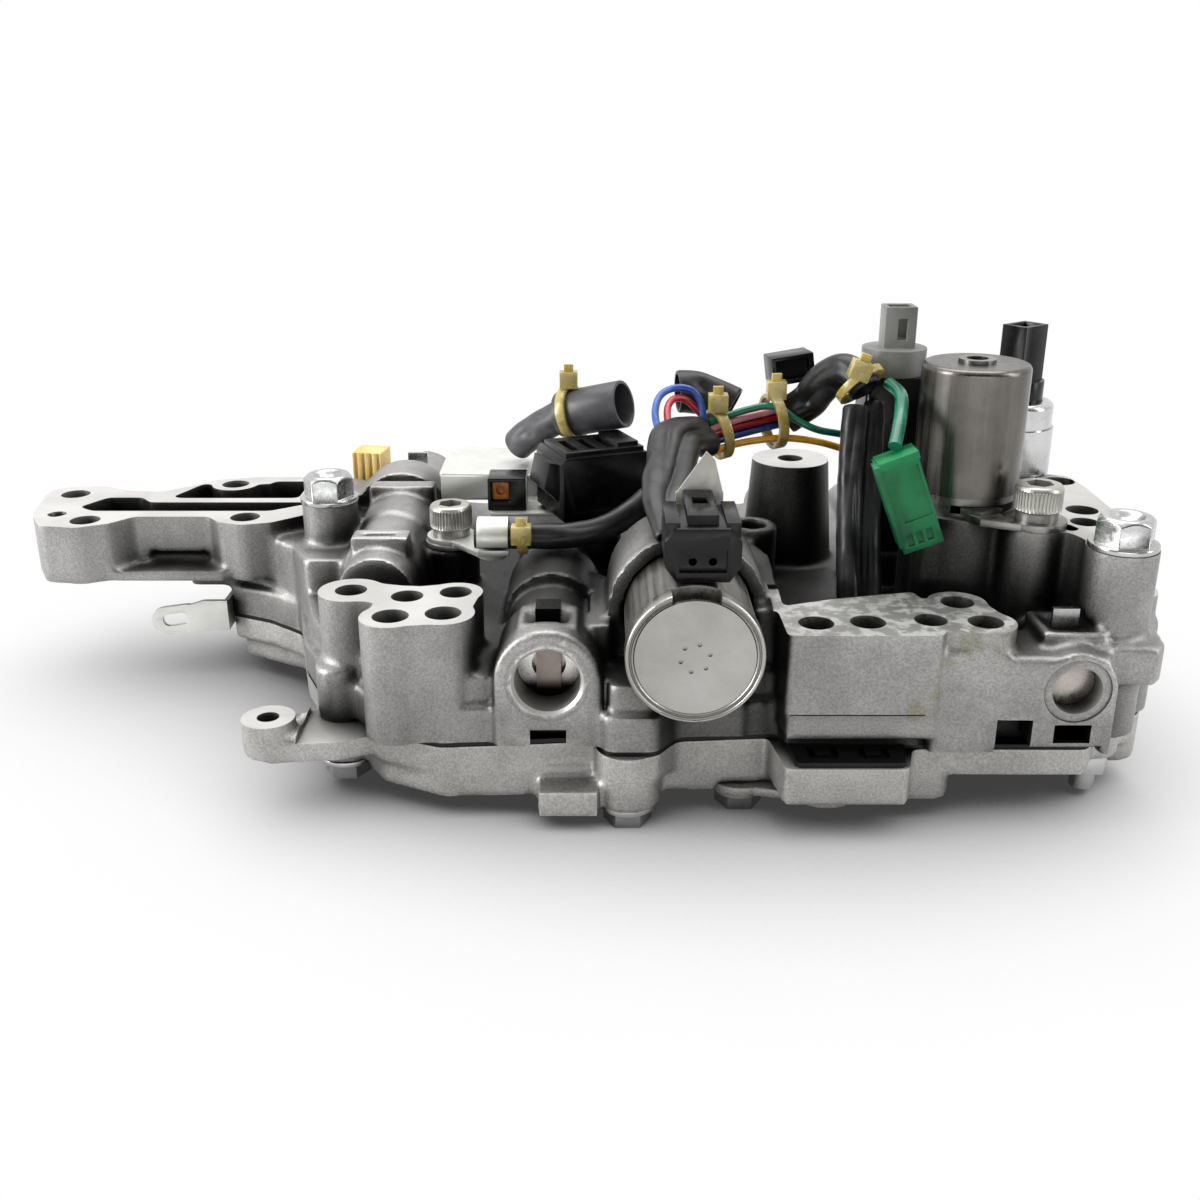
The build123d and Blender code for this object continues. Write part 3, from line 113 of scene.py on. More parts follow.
# Colour, roughness that follows a pattern, and relief that piles up from each height's strength and depth
def dress(tree, surface, colour, pattern, smoothest, roughest, heights):
    inputs = {"Value": pattern, "From Min": 0.3, "From Max": 0.7, "To Min": smoothest, "To Max": roughest}
    gloss = addNode(tree, "ShaderNodeMapRange", inputs, interpolation_type="SMOOTHSTEP")
    tree.links.new(colour, surface.inputs["Base Color"])
    tree.links.new(gloss, surface.inputs["Roughness"])
    for height, strength, distance in heights:
        inputs = {"Height": height, "Strength": strength, "Distance": distance * mm}
        if surface.inputs["Normal"].is_linked:
            inputs["Normal"] = surface.inputs["Normal"].links[0].from_socket
        tree.links.new(addNode(tree, "ShaderNodeBump", inputs), surface.inputs["Normal"])


# Scales of patterns, in cells to the metre: patches are 22 mm wide, the ragged bits of a stain 4 mm, and a
# mould's grain 0.7 mm; each metal's own grain comes with it, and 1900 is half a millimetre
patchScale, stainScale, mouldScale = 45.0, 260.0, 1400.0
# Pointiness is 0.5 where a surface is flat: edges brighten over the first range, and grooves are painted
# darker, as shade, over the second, by a share of what the edges gain
edgeRange, grooveRange, grooveShare = (0.515, 0.60), (0.40, 0.485), 0.7
# A stain or a patch of painted shade is at its strongest inside a core, a share of its radius; a stain's
# cover is ragged, as it grows over a range of noise
stainCore, stainRange, stainCover = 0.45, (0.42, 0.56), 0.6
paintedShadeCore, paintedShadeCover = 0.3, 0.85
# Black painted as shade over given heights
paintedShadeBlack = "#0C0C0D"


# Metal: colour patches, grain or brushing, bright worn edges, grooves and hollows painted darker as shade,
# hollows within their reach, ragged stains and smooth painted shade at given places, and heights painted
# black as shade
def metal(name, light, dark, roughness, grain, grainDepth, stretch=(1.0, 1.0, 1.0), hollow=0.0, reach=12.0,
          openness=(0.12, 0.88), speckle=0.0, edge=0.0, metallic=1.0, stains=(), paintedShadePatches=(), paintedShadeHeights=()):
    material, tree, surface = newMaterial(name)
    place = addNode(tree, "ShaderNodeTexCoord", output="Object")
    drawn = addNode(tree, "ShaderNodeMapping", {"Vector": place, "Scale": stretch})
    inputs = {"Vector": place, "Scale": patchScale, "Detail": 4.0, "Roughness": 0.6}
    patches = addNode(tree, "ShaderNodeTexNoise", inputs)
    inputs = {"Vector": drawn, "Scale": grain, "Detail": 3.0, "Roughness": 0.65}
    fine = addNode(tree, "ShaderNodeTexNoise", inputs)
    layers = [(patches, 0.32, 0.68, 0.0, 1.0, light)]
    for centre, radius, tint in stains:
        inputs = {"Vector": place, "Scale": stainScale, "Detail": 4.0, "Roughness": 0.6}
        ragged = addNode(tree, "ShaderNodeTexNoise", inputs)
        inputs = {"Value": ragged, "From Min": stainRange[0], "From Max": stainRange[1], "To Min": 0.0,
                  "To Max": stainCover}
        cover = addNode(tree, "ShaderNodeMapRange", inputs, interpolation_type="SMOOTHSTEP")
        inputs = {0: place, 1: [value * mm for value in centre]}
        distance = addNode(tree, "ShaderNodeVectorMath", inputs, "Value", operation="DISTANCE")
        layers.append((distance, radius * mm, radius * stainCore * mm, 0.0, cover, tint))
    # Smooth patches of painted shade, at their darkest in a core
    for centre, radius, tint in paintedShadePatches:
        inputs = {0: place, 1: [value * mm for value in centre]}
        distance = addNode(tree, "ShaderNodeVectorMath", inputs, "Value", operation="DISTANCE")
        layers.append((distance, radius * mm, radius * paintedShadeCore * mm, 0.0, paintedShadeCover, tint))
    if speckle:
        layers.append((fine, 0.34, 0.66, 1.0 - speckle, 1.0 + speckle, None))
    # Worn edges brighten; grooves are painted darker as shade
    if edge:
        pointed = addNode(tree, "ShaderNodeNewGeometry", output="Pointiness")
        layers.append((pointed, *edgeRange, 1.0, 1.0 + edge, None))
        layers.append((pointed, *grooveRange, 1.0 - edge * grooveShare, 1.0, None))
    # Painted shade: the colour darkens where ambient occlusion finds the surface closed in, within its reach
    if hollow:
        depth = addNode(tree, "ShaderNodeAmbientOcclusion", {"Distance": reach * mm}, "AO", samples=6)
        layers.append((depth, *openness, 1.0 - hollow, 1.0, None))
    # Painted shade: the colour turns black over a range of heights
    for start, end in paintedShadeHeights:
        height = addNode(tree, "ShaderNodeSeparateXYZ", {"Vector": place}, "Z")
        layers.append((height, start * mm, end * mm, 0.0, 1.0, paintedShadeBlack))
    surface.inputs["Metallic"].default_value = metallic
    heights = [(fine, grainDepth, 0.12), (patches, 0.12, 0.5)]
    dress(tree, surface, layered(tree, dark, layers), fine, roughness - 0.07, roughness + 0.07, heights)
    return material


# Moulded plastic or vinyl: slight colour change, moulding grain and soft waves
def plastic(name, light, dark, roughness, grainDepth=0.12, wave=120.0, waveDepth=0.1, subsurface=0.0,
            coat=0.0, glow=0.0, shine=0.5):
    material, tree, surface = newMaterial(name)
    place = addNode(tree, "ShaderNodeTexCoord", output="Object")
    inputs = {"Vector": place, "Scale": wave, "Detail": 3.0, "Roughness": 0.55}
    patches = addNode(tree, "ShaderNodeTexNoise", inputs)
    inputs = {"Vector": place, "Scale": mouldScale, "Detail": 2.0, "Roughness": 0.6}
    fine = addNode(tree, "ShaderNodeTexNoise", inputs)
    surface.inputs["Subsurface Weight"].default_value = subsurface
    surface.inputs["Subsurface Radius"].default_value = (0.004, 0.003, 0.0012)
    surface.inputs["Subsurface Scale"].default_value = 0.6
    surface.inputs["Transmission Weight"].default_value = glow
    surface.inputs["Specular IOR Level"].default_value = shine
    surface.inputs["Coat Weight"].default_value = coat
    surface.inputs["Coat Roughness"].default_value = 0.12
    colour = layered(tree, dark, [(patches, 0.35, 0.68, 0.0, 1.0, light)])
    heights = [(fine, grainDepth, 0.05), (patches, waveDepth, 0.4)]
    dress(tree, surface, colour, patches, roughness - 0.06, roughness + 0.08, heights)
    return material


# Marks on the castings, each with its centre, radius and tint in millimetres: sealant smeared over the step
# of the right platform, painted shadow in the two valleys, and grey patches on the right platform's top
sealant = [
    ((90.5, -75.6, 36.0), 3.2, "#8E8C74"),
    ((86.5, -75.6, 31.5), 3.6, "#8A8870"),
    ((92.6, -75.6, 43.0), 2.6, "#8F8D70"),
    ((98.0, -74.0, 47.4), 4.6, "#82806A"),
    ((105.7, -73.6, 47.2), 4.2, "#807E6A"),
]
valleyPaintedShade = [((4.0, -36.0, 52.0), 27.0, "#3C3C3B"), ((52.0, -34.0, 48.0), 22.0, "#4A4A49")]
platformGreyPatches = [((78.0, -62.0, 50.0), 40.0, "#6E6D6B"), ((100.0, -58.0, 50.0), 24.0, "#7A7977")]

# Die-cast aluminium, bead blasted: a sandy skin of half-millimetre grains, a little coarse so that it shows
# Painted shade darkens the castings' hollows, the upper one's strongly, and lies in patches in its valleys
castUpper = metal("beadBlastedCastingUpper", "#A8A7A5", "#908F8D", 0.46, 1900.0, 0.55, hollow=0.95,
                  reach=42.0, openness=(0.42, 0.94), speckle=0.2, edge=0.6, metallic=0.85, stains=sealant,
                  paintedShadePatches=valleyPaintedShade)
castLower = metal("beadBlastedCastingLower", "#B7B6B3", "#9F9E9B", 0.48, 1900.0, 0.55, hollow=0.5, reach=20.0,
                  speckle=0.2, edge=0.4, metallic=0.85)
# Milled aluminium: bright flat faces with fine cutter lines, and holes painted darker with depth as shade
milled = metal("milledAluminium", "#CECDCA", "#B9B8B5", 0.46, 900.0, 0.06, stretch=(1.0, 6.0, 1.0),
               hollow=0.96, reach=9.0, openness=(0.3, 0.96), metallic=0.6, stains=platformGreyPatches)
# Drawn steel cans: satin, with long draw lines; the tall can's steel is darker and browner
canSteel = metal("satinDrawnSteel", "#B8B6B2", "#A3A19B", 0.32, 500.0, 0.03, stretch=(1.0, 0.03, 1.0),
                 hollow=0.35, reach=10.0)
tallSteel = metal("satinDrawnSteelUpright", "#76736E", "#5F5C58", 0.30, 600.0, 0.06, stretch=(1.0, 1.0, 0.04),
                  hollow=0.55, reach=12.0, speckle=0.06)
# Zinc plate: bright and bluish on bolts, nuts and cans, pale and satin on bent sheet
zincPlate = metal("brightZincPlate", "#D2D3D2", "#B2B3B2", 0.24, 600.0, 0.10, hollow=0.6, reach=6.0)
satinZinc = metal("satinZincSheet", "#E6E6E1", "#D6D6D0", 0.42, 700.0, 0.08, hollow=0.4, reach=6.0,
                  metallic=0.75)
# Steel with its own finish: knurled heads, a satin latch, plain turned steel, ground and polished valve steel
knurledSteel = metal("knurledSteel", "#C2C0B9", "#A9A7A0", 0.34, 700.0, 0.04, hollow=0.55, reach=4.0,
                     metallic=0.85)
latchSteel = metal("satinLatchSteel", "#B9B8B0", "#A6A59D", 0.45, 500.0, 0.03, hollow=0.4, reach=6.0,
                   metallic=0.7)
plainSteel = metal("plainSteel", "#9B9A97", "#7C7B78", 0.34, 900.0, 0.15, hollow=0.6, reach=8.0)
groundSteel = metal("groundSteel", "#C4BDB6", "#A59D96", 0.24, 1100.0, 0.10, hollow=0.5, reach=6.0)
# The plug's face is painted black towards its bottom, from 33.8 mm down to 30.8 mm high, as shadow
plugSteel = metal("polishedPlugSteel", "#F4F1EC", "#DCD8D2", 0.30, 900.0, 0.04, hollow=0.35, reach=4.0,
                  metallic=0.8, paintedShadeHeights=[(33.8, 30.8)])
# Spring steel: bright drawn wire, and a keeper browned by heat, painted black at both ends as the shade in
# its slots
springSteel = metal("springSteel", "#8E8E8E", "#737373", 0.25, 1100.0, 0.10)
clipSteel = metal("darkenedSpringSteel", "#958B85", "#7A706A", 0.38, 900.0, 0.08, hollow=0.5, reach=5.0,
                  paintedShadeHeights=[(46.5, 46.9), (34.0, 30.6)])
# Black oxide: a thin dark skin that keeps some of the steel's sheen
blackSteel = metal("blackOxideSteel", "#232324", "#151516", 0.38, 1200.0, 0.20, metallic=0.6)
# Moulded nylon: connectors with a slight gloss, and cable ties that have yellowed and let some light through
blackNylon = plastic("mouldedBlackNylon", "#0D0D0F", "#070708", 0.28, shine=0.3)
greyNylon = plastic("greyNylon", "#7B7C78", "#646561", 0.45)
greenNylon = plastic("greenNylon", "#0A7A45", "#075E35", 0.36, shine=0.35)
creamNylon = plastic("creamNylon", "#EAD08A", "#D2AE5C", 0.42, subsurface=0.2)
amberNylon = plastic("amberNylon", "#F29B28", "#C9741A", 0.28, subsurface=0.25)
tieNylon = plastic("yellowedNylon", "#C6B66C", "#A89650", 0.26, wave=200.0, subsurface=0.3, coat=0.3,
                   glow=0.18)
# Soft vinyl: wrinkled sleeves, and smooth insulation of the wires under a thin gloss
blackVinyl = plastic("softBlackVinyl", "#262628", "#141415", 0.38, 0.25, wave=160.0, waveDepth=0.35,
                     shine=0.45)
greyVinyl = plastic("greyedVinyl", "#4C4C4F", "#3B3B3D", 0.42, 0.25, wave=160.0, waveDepth=0.3)
greenWire = plastic("greenVinyl", "#0F7A5C", "#0B5F48", 0.3, coat=0.3)
redWire = plastic("redVinyl", "#C01630", "#930E20", 0.3, coat=0.3)
pinkWire = plastic("pinkVinyl", "#F2A9AE", "#DB8790", 0.3, coat=0.3)
blueWire = plastic("blueVinyl", "#2459AE", "#173F8C", 0.3, coat=0.3)
yellowWire = plastic("yellowVinyl", "#F7B51E", "#E29C10", 0.3, coat=0.3)

nodeMaterials = {
    castUpper: ["upper_body"],
    castLower: ["lower_body", "bottom_cover"],
    blackSteel: ["separator_plate"],
    clipSteel: ["front_clip"],
    groundSteel: ["front_spool", "right_spool", "left_spool", "manual_valve", "right_plug", "left_plug",
                  "dowel_pins"],
    plugSteel: ["front_plug"],
    latchSteel: ["front_latch_sheet"],
    springSteel: ["front_spring", "right_spring", "left_spring"],
    zincPlate: ["right_clip", "left_clip", "rear_solenoid_can", "flange_bolts", "stud", "stud_nut",
                "bottom_bolts"],
    satinZinc: ["sheet_cover", "left_tab", "wire_clip"],
    canSteel: ["front_solenoid_can", "front_solenoid_disc"],
    tallSteel: ["tall_solenoid_can"],
    knurledSteel: ["cap_screws", "cap_screw_washer"],
    plainSteel: ["tall_solenoid_core", "front_solenoid_nozzle", "solenoid_bracket"],
    blackNylon: ["main_connector", "front_solenoid_connector", "rear_solenoid_connector", "coil_body",
                 "small_connector", "terminal_holder"],
    greyNylon: ["coil_connector_cap"],
    greenNylon: ["green_connector"],
    creamNylon: ["cream_connector"],
    amberNylon: ["amber_terminal"],
    tieNylon: ["cable_ties"],
    greyVinyl: ["open_sleeve", "left_sleeve"],
    blackVinyl: ["front_sleeve", "wire_boot", "clip_sleeve", "loop_sleeve", "sleeve_front_run",
                 "sleeve_rear_run"],
    greenWire: ["green_wire", "green_lead"],
    redWire: ["red_wire"],
    pinkWire: ["pink_wire"],
    blueWire: ["blue_wire"],
    yellowWire: ["yellow_wire"],
}
materialOf = {name: material for material, names in nodeMaterials.items() for name in names}
for name, node in nodes.items():
    node.data.materials.clear()
    node.data.materials.append(materialOf[name])
print("materials ready")


# Small tools for meshes

def newPiece(name, mesh, material=None):
    piece = bpy.data.objects.new(name, mesh)
    bpy.context.scene.collection.objects.link(piece)
    if material:
        mesh.materials.clear()
        mesh.materials.append(material)
    return piece


# Copy of a CAD node: its loose triangles are welded, and its sharp edges and normals are left to be set anew
def cadCopy(name, pieceName, material=None, weld=0.000002):
    mesh = nodes[name].data.copy()
    body = bmesh.new()
    body.from_mesh(mesh)
    bmesh.ops.remove_doubles(body, verts=body.verts, dist=weld)
    bmesh.ops.recalc_face_normals(body, faces=body.faces)
    body.to_mesh(mesh)
    body.free()
    for layer in list(mesh.attributes):
        if layer.name in ("custom_normal", "sharp_face", "sharp_edge"):
            mesh.attributes.remove(layer)
    return newPiece(pieceName, mesh, material)


def bake(piece):
    graph = bpy.context.evaluated_depsgraph_get()
    mesh = bpy.data.meshes.new_from_object(piece.evaluated_get(graph))
    old = piece.data
    piece.modifiers.clear()
    piece.data = mesh
    bpy.data.meshes.remove(old)


def discard(piece):
    mesh = piece.data
    bpy.data.objects.remove(piece)
    bpy.data.meshes.remove(mesh)


def combine(piece, other, operation):
    modifier = piece.modifiers.new("combine", "BOOLEAN")
    modifier.operation = operation
    modifier.solver = "MANIFOLD"
    modifier.object = other
    bake(piece)
    discard(other)


def boxPiece(low, high):
    body = bmesh.new()
    bmesh.ops.create_cube(body, size=1.0)
    size = (Vector(high) - Vector(low)) * mm
    middle = (Vector(high) + Vector(low)) / 2 * mm
    place = Matrix.Translation(middle) @ Matrix.Diagonal((*size, 1.0))
    bmesh.ops.transform(body, verts=body.verts, matrix=place)
    mesh = bpy.data.meshes.new("box")
    body.to_mesh(mesh)
    body.free()
    return newPiece("box", mesh)


# Cylinders or cones in one mesh, each with its place, radius, start and end along Z or Y
def drills(holes, along="Z", sides=64):
    body = bmesh.new()
    for x, other, radius, start, end in holes:
        turn = Matrix.Identity(4)
        middle = (x, other, (start + end) / 2)
        if along == "Y":
            turn = Matrix.Rotation(math.radians(90), 4, "X")
            middle = (x, (start + end) / 2, other)
        first, last = radius if isinstance(radius, tuple) else (radius, radius)
        place = Matrix.Translation(Vector(middle) * mm) @ turn
        bmesh.ops.create_cone(body, cap_ends=True, segments=sides, radius1=first * mm, radius2=last * mm,
                              depth=abs(end - start) * mm, matrix=place)
    mesh = bpy.data.meshes.new("drills")
    body.to_mesh(mesh)
    body.free()
    return newPiece("drills", mesh)


def smoothShade(piece, angle):
    mesh = piece.data
    mesh.polygons.foreach_set("use_smooth", [True] * len(mesh.polygons))
    mesh.set_sharp_from_angle(angle=math.radians(angle))


def triangles(piece):
    return sum(len(face.vertices) - 2 for face in piece.data.polygons)


# Closed surface through rings of points in millimetres: quads join each ring to the next, and a middle point
# closes each end
def ringSurface(name, rings, material, angle=40):
    rows, columns = rings.shape[:2]
    points = np.concatenate([rings.reshape(-1, 3), rings[:1].mean(1), rings[-1:].mean(1)]) * mm
    row, column = np.meshgrid(np.arange(rows - 1), np.arange(columns), indexing="ij")
    following = (column + 1) % columns
    corners = [row * columns + column, row * columns + following, (row + 1) * columns + following,
               (row + 1) * columns + column]
    quads = np.stack(corners, -1).reshape(-1, 4)
    around = np.arange(columns)
    ahead = (around + 1) % columns
    lastRow = (rows - 1) * columns
    firstCap = np.stack([ahead, around, np.full(columns, rows * columns)], -1)
    lastCap = np.stack([around + lastRow, ahead + lastRow, np.full(columns, rows * columns + 1)], -1)
    mesh = bpy.data.meshes.new(name)
    mesh.from_pydata(points.tolist(), [], quads.tolist() + firstCap.tolist() + lastCap.tolist())
    body = bmesh.new()
    body.from_mesh(mesh)
    bmesh.ops.recalc_face_normals(body, faces=body.faces)
    body.to_mesh(mesh)
    body.free()
    piece = newPiece(name, mesh, material)
    smoothShade(piece, angle)
    return piece


# Turned shape: a profile of radius and height goes round an axis; within their range, teeth narrow it by
# their depth times the size of a sine of the angle
def turned(name, profile, centre, along, sides, material, teeth=0, toothDepth=0.0, toothRange=(0.0, 0.0)):
    profile = np.array(profile)
    angle = np.linspace(0.0, 2.0 * math.pi, sides, endpoint=False)
    radius = profile[:, 0][:, None] + 0.0 * angle
    height = profile[:, 1][:, None] + 0.0 * angle
    toothed = (height > toothRange[0]) & (height < toothRange[1])
    radius = radius - toothed * toothDepth * abs(np.sin(teeth * angle / 2.0))
    across, up = centre[0] + radius * np.cos(angle), centre[1] + radius * np.sin(angle)
    rings = np.stack([across, height, up], -1) if along == "Y" else np.stack([across, up, height], -1)
    return ringSurface(name, rings, material)


def join(pieces, name):
    body = bmesh.new()
    for piece in pieces:
        body.from_mesh(piece.data)
    mesh = bpy.data.meshes.new(name)
    body.to_mesh(mesh)
    body.free()
    material = pieces[0].data.materials[0]
    for piece in pieces:
        discard(piece)
    return newPiece(name, mesh, material)


# A slab of the CAD copy just behind a machined face, moved out past it, so that rounding happens outside it
def growFace(piece, name, region, level, direction, growth=1.6, skin=0.08):
    (x0, x1), (y0, y1) = region
    behind = sorted((level - direction * growth, level - direction * skin))
    slab = cadCopy(name, "slab")
    combine(slab, boxPiece((x0, y0, behind[0]), (x1, y1, behind[1])), "INTERSECT")
    slab.data.transform(Matrix.Translation((0, 0, direction * growth * mm)))
    combine(piece, slab, "UNION")


# Faces of a casting that a cutter made: those in a machined plane that face straight out, and the walls of
# its holes, a margin past their radius, where a chamfer counts from a little outside its rim
def machinedFaces(mesh, settings, slack=0.03, straight=0.98, rim=0.2, margin=0.02, wall=0.9):
    normals = np.empty(len(mesh.polygons) * 3, np.float32)
    centres = np.empty(len(mesh.polygons) * 3, np.float32)
    mesh.polygons.foreach_get("normal", normals)
    mesh.polygons.foreach_get("center", centres)
    normals = normals.reshape(-1, 3)
    centres = centres.reshape(-1, 3) / mm
    chosen = np.zeros(len(mesh.polygons), bool)
    for region, level, direction in settings["faces"]:
        (x0, x1), (y0, y1) = region
        inside = (centres[:, 0] > x0) & (centres[:, 0] < x1) & (centres[:, 1] > y0) & (centres[:, 1] < y1)
        chosen |= inside & (abs(centres[:, 2] - level) < slack) & (normals[:, 2] * direction > straight)
    for holes, along in settings["holes"]:
        first, second, depth = (0, 1, 2) if along == "Z" else (0, 2, 1)
        for x, other, radius, start, end in holes:
            if isinstance(radius, tuple):
                radius = max(radius) + rim
            distance = np.hypot(centres[:, first] - x, centres[:, second] - other)
            low, high = sorted((start, end))
            within = (centres[:, depth] > low) & (centres[:, depth] < high)
            chosen |= (distance < radius + margin) & within & (abs(normals[:, depth]) < wall)
    return chosen


# A casting: every edge is rounded by remeshing and smoothing, then its machined faces and holes are cut sharp
def castingLook(name, pieceName, settings, material, cutHeight=4.0):
    piece = cadCopy(name, pieceName)
    for region, level, direction in settings["faces"]:
        growFace(piece, name, region, level, direction)
    for low, high in settings["fills"]:
        combine(piece, boxPiece(low, high), "UNION")
    if settings["plugs"]:
        combine(piece, drills(settings["plugs"], "Y"), "UNION")
    remesh = piece.modifiers.new("voxels", "REMESH")
    remesh.mode = "VOXEL"
    remesh.voxel_size = settings["voxel"] * mm
    smooth = piece.modifiers.new("soften", "SMOOTH")
    smooth.factor = 0.5
    smooth.iterations = settings["rounds"]
    bake(piece)
    share = settings["triangles"] / max(triangles(piece), 1)
    if share < 1.0:
        thin = piece.modifiers.new("thin", "DECIMATE")
        thin.ratio = share
        bake(piece)
    for region, level, direction in settings["faces"]:
        (x0, x1), (y0, y1) = region
        low, high = sorted((level, level + direction * cutHeight))
        combine(piece, boxPiece((x0, y0, low), (x1, y1, high)), "DIFFERENCE")
    for holes, along in settings["holes"]:
        combine(piece, drills(holes, along), "DIFFERENCE")
    for low, high in settings["pockets"]:
        combine(piece, boxPiece(low, high), "DIFFERENCE")
    piece.data.materials.clear()
    piece.data.materials.append(material)
    piece.data.materials.append(milled)
    piece.data.polygons.foreach_set("material_index", machinedFaces(piece.data, settings).astype(np.int32))
    smoothShade(piece, 38)
    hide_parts(name)
    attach(piece, mainBody)
    print(pieceName, triangles(piece))


# Round holes of one depth: x, y and radius of each, with where they start and end
def upright(places, low, high):
    return [(x, y, radius, low, high) for x, y, radius in places]


# Heights of the machined faces and of the split, with the holes that open in each, as x, y and radius
splitTop, splitBottom = 20.4, 19.2
platformLevel, blockLevel, boltLevel = 50.0, 65.0, 57.0
leftPorts = [(-45.0, -46.7, 3.85), (-30.9, -50.8, 3.85), (-19.6, -48.1, 3.85), (-33.0, -63.7, 4.25),
             (-21.1, -61.8, 4.25)]
rightPorts = [(63.8, -67.9, 4.05), (75.6, -67.3, 4.05), (90.1, -66.1, 3.75), (102.3, -67.3, 4.05),
              (99.0, -54.8, 3.95)]
armEndHoles = [(-142.1, 35.2, 4.15), (-129.8, 9.3, 4.15)]
armRootHole = [(-85.5, 12.2, 4.15)]
armRearHole = [(-97.0, 46.1, 4.05)]
blockHoles = [(134.9, -30.0, 3.95), (132.2, -39.9, 3.45), (138.0, -3.6, 3.95)]
bossHole = [(69.2, 20.4, 3.55)]
lugHole = [(-63.5, -62.9, 2.65)]
frontBore = (3.0, 36.6)
rightBore = (122.4, 36.1)
everywhere = ((-160.0, 160.0), (-90.0, 90.0))

upperCasting = {
    "voxel": 0.9,
    "rounds": 6,
    "triangles": 160000,
    # Region, height and outward direction of each machined face
    "faces": [
        (everywhere, splitTop, -1),
        (((-156.0, -68.4), (0.0, 60.0)), platformLevel, 1),
        (((-56.0, -10.0), (-73.0, -38.0)), platformLevel, 1),
        (((55.0, 111.0), (-78.0, -45.8)), platformLevel, 1),
        (((86.0, 150.0), (-68.0, 8.0)), blockLevel, 1),
        (((56.0, 82.0), (8.0, 34.0)), blockLevel, 1),
        (((-69.0, -50.0), (-4.0, 15.0)), boltLevel, 1),
        (((134.0, 152.0), (-55.0, -37.0)), platformLevel, 1),
    ],
    # Ports and screw holes, then the two front bores, their spot faces and their chamfers
    "holes": [
        (upright(leftPorts + rightPorts, 34.0, 52.0) + upright(armEndHoles, 30.0, 52.0)
         + upright(armRootHole, 32.5, 52.0) + upright(armRearHole, 30.0, 52.0)
         + upright(blockHoles, 49.0, 67.0) + upright(bossHole, 30.2, 67.0), "Z"),
        ([(*frontBore, 7.65, -73.0, -50.0), (*rightBore, 5.65, -77.0, -56.4)], "Y"),
        ([(*frontBore, 9.8, -73.0, -70.97), (*rightBore, 7.7, -77.0, -74.57)], "Y"),
        ([(*frontBore, (7.5, 9.1), -71.8, -70.0), (*rightBore, (5.5, 7.1), -76.4, -74.6)], "Y"),
    ],
    # Bores and slots are closed before the rounding, so that they are cut clean after it
    "plugs": [(*frontBore, 9.4, -71.0, -66.0), (*rightBore, 7.4, -75.0, -70.0)],
    "fills": [((-2.2, -71.0, 20.8), (8.2, -66.0, 26.0)), ((104.9, -74.6, 20.8), (128.0, -70.5, 29.6))],
    # Fine step lines on the right wall, slots below both bores, the corner recess, and the gap over the split
    "pockets": [
        ((57.4, -76.6, 30.4), (88.4, -75.3, 30.75)),
        ((91.4, -76.6, 33.4), (91.75, -75.3, 44.6)),
        ((-1.2, -73.0, 20.0), (7.2, -64.0, 24.6)),
        ((118.2, -77.0, 23.2), (126.6, -66.0, 27.8)),
        ((105.2, -77.0, 20.0), (113.2, -66.0, 28.9)),
        ((113.1, -77.0, 20.0), (129.4, -71.2, 22.4)),
        ((105.2, -77.0, 20.0), (114.4, -66.0, 22.4)),
    ],
}
castingLook("upper_body", "upperCasting", upperCasting, castUpper)

lowerCasting = {
    "voxel": 0.9,
    "rounds": 5,
    "triangles": 110000,
    "faces": [
        (((-56.4, 160.0), (-90.0, 90.0)), splitBottom, 1),
        (((-95.0, -56.5), (-54.0, 90.0)), splitBottom, 1),
        (((-71.0, -56.6), (-71.0, -55.0)), 24.0, 1),
    ],
    "holes": [(upright(lugHole, 13.0, 26.0), "Z")],
    "plugs": [],
    "fills": [],
    "pockets": [],
}
castingLook("lower_body", "lowerCasting", lowerCasting, castLower)
print("castings ready")

# Front solenoid can: rolled rim with a fine groove, long barrel, and the rim left open under the connector
frontCan = {
    "centre": (35.7, 47.2),
    "rim": [(13.35, -80.4), (13.36, -81.2), (13.5, -81.55), (13.75, -81.72), (14.0, -81.6), (14.15, -81.3),
            (14.3, -81.3), (14.45, -81.7), (14.7, -81.95), (14.95, -82.0), (15.2, -81.85), (15.36, -81.5),
            (15.4, -81.0), (15.4, -77.2), (15.3, -76.9), (15.05, -76.7), (15.0, -76.4)],
    "barrel": [(15.0, -60.0), (15.0, -39.0), (14.8, -38.4), (14.3, -38.0)],
    "gap": ((30.4, -83.0, 58.0), (41.0, -76.4, 64.0)),
    "sides": 144,
}
canProfile = frontCan["rim"] + frontCan["barrel"]
canLook = turned("frontCan", canProfile, frontCan["centre"], "Y", frontCan["sides"], canSteel)
combine(canLook, boxPiece(*frontCan["gap"]), "DIFFERENCE")
smoothShade(canLook, 40)
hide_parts("front_solenoid_can")
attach(canLook, mainBody)

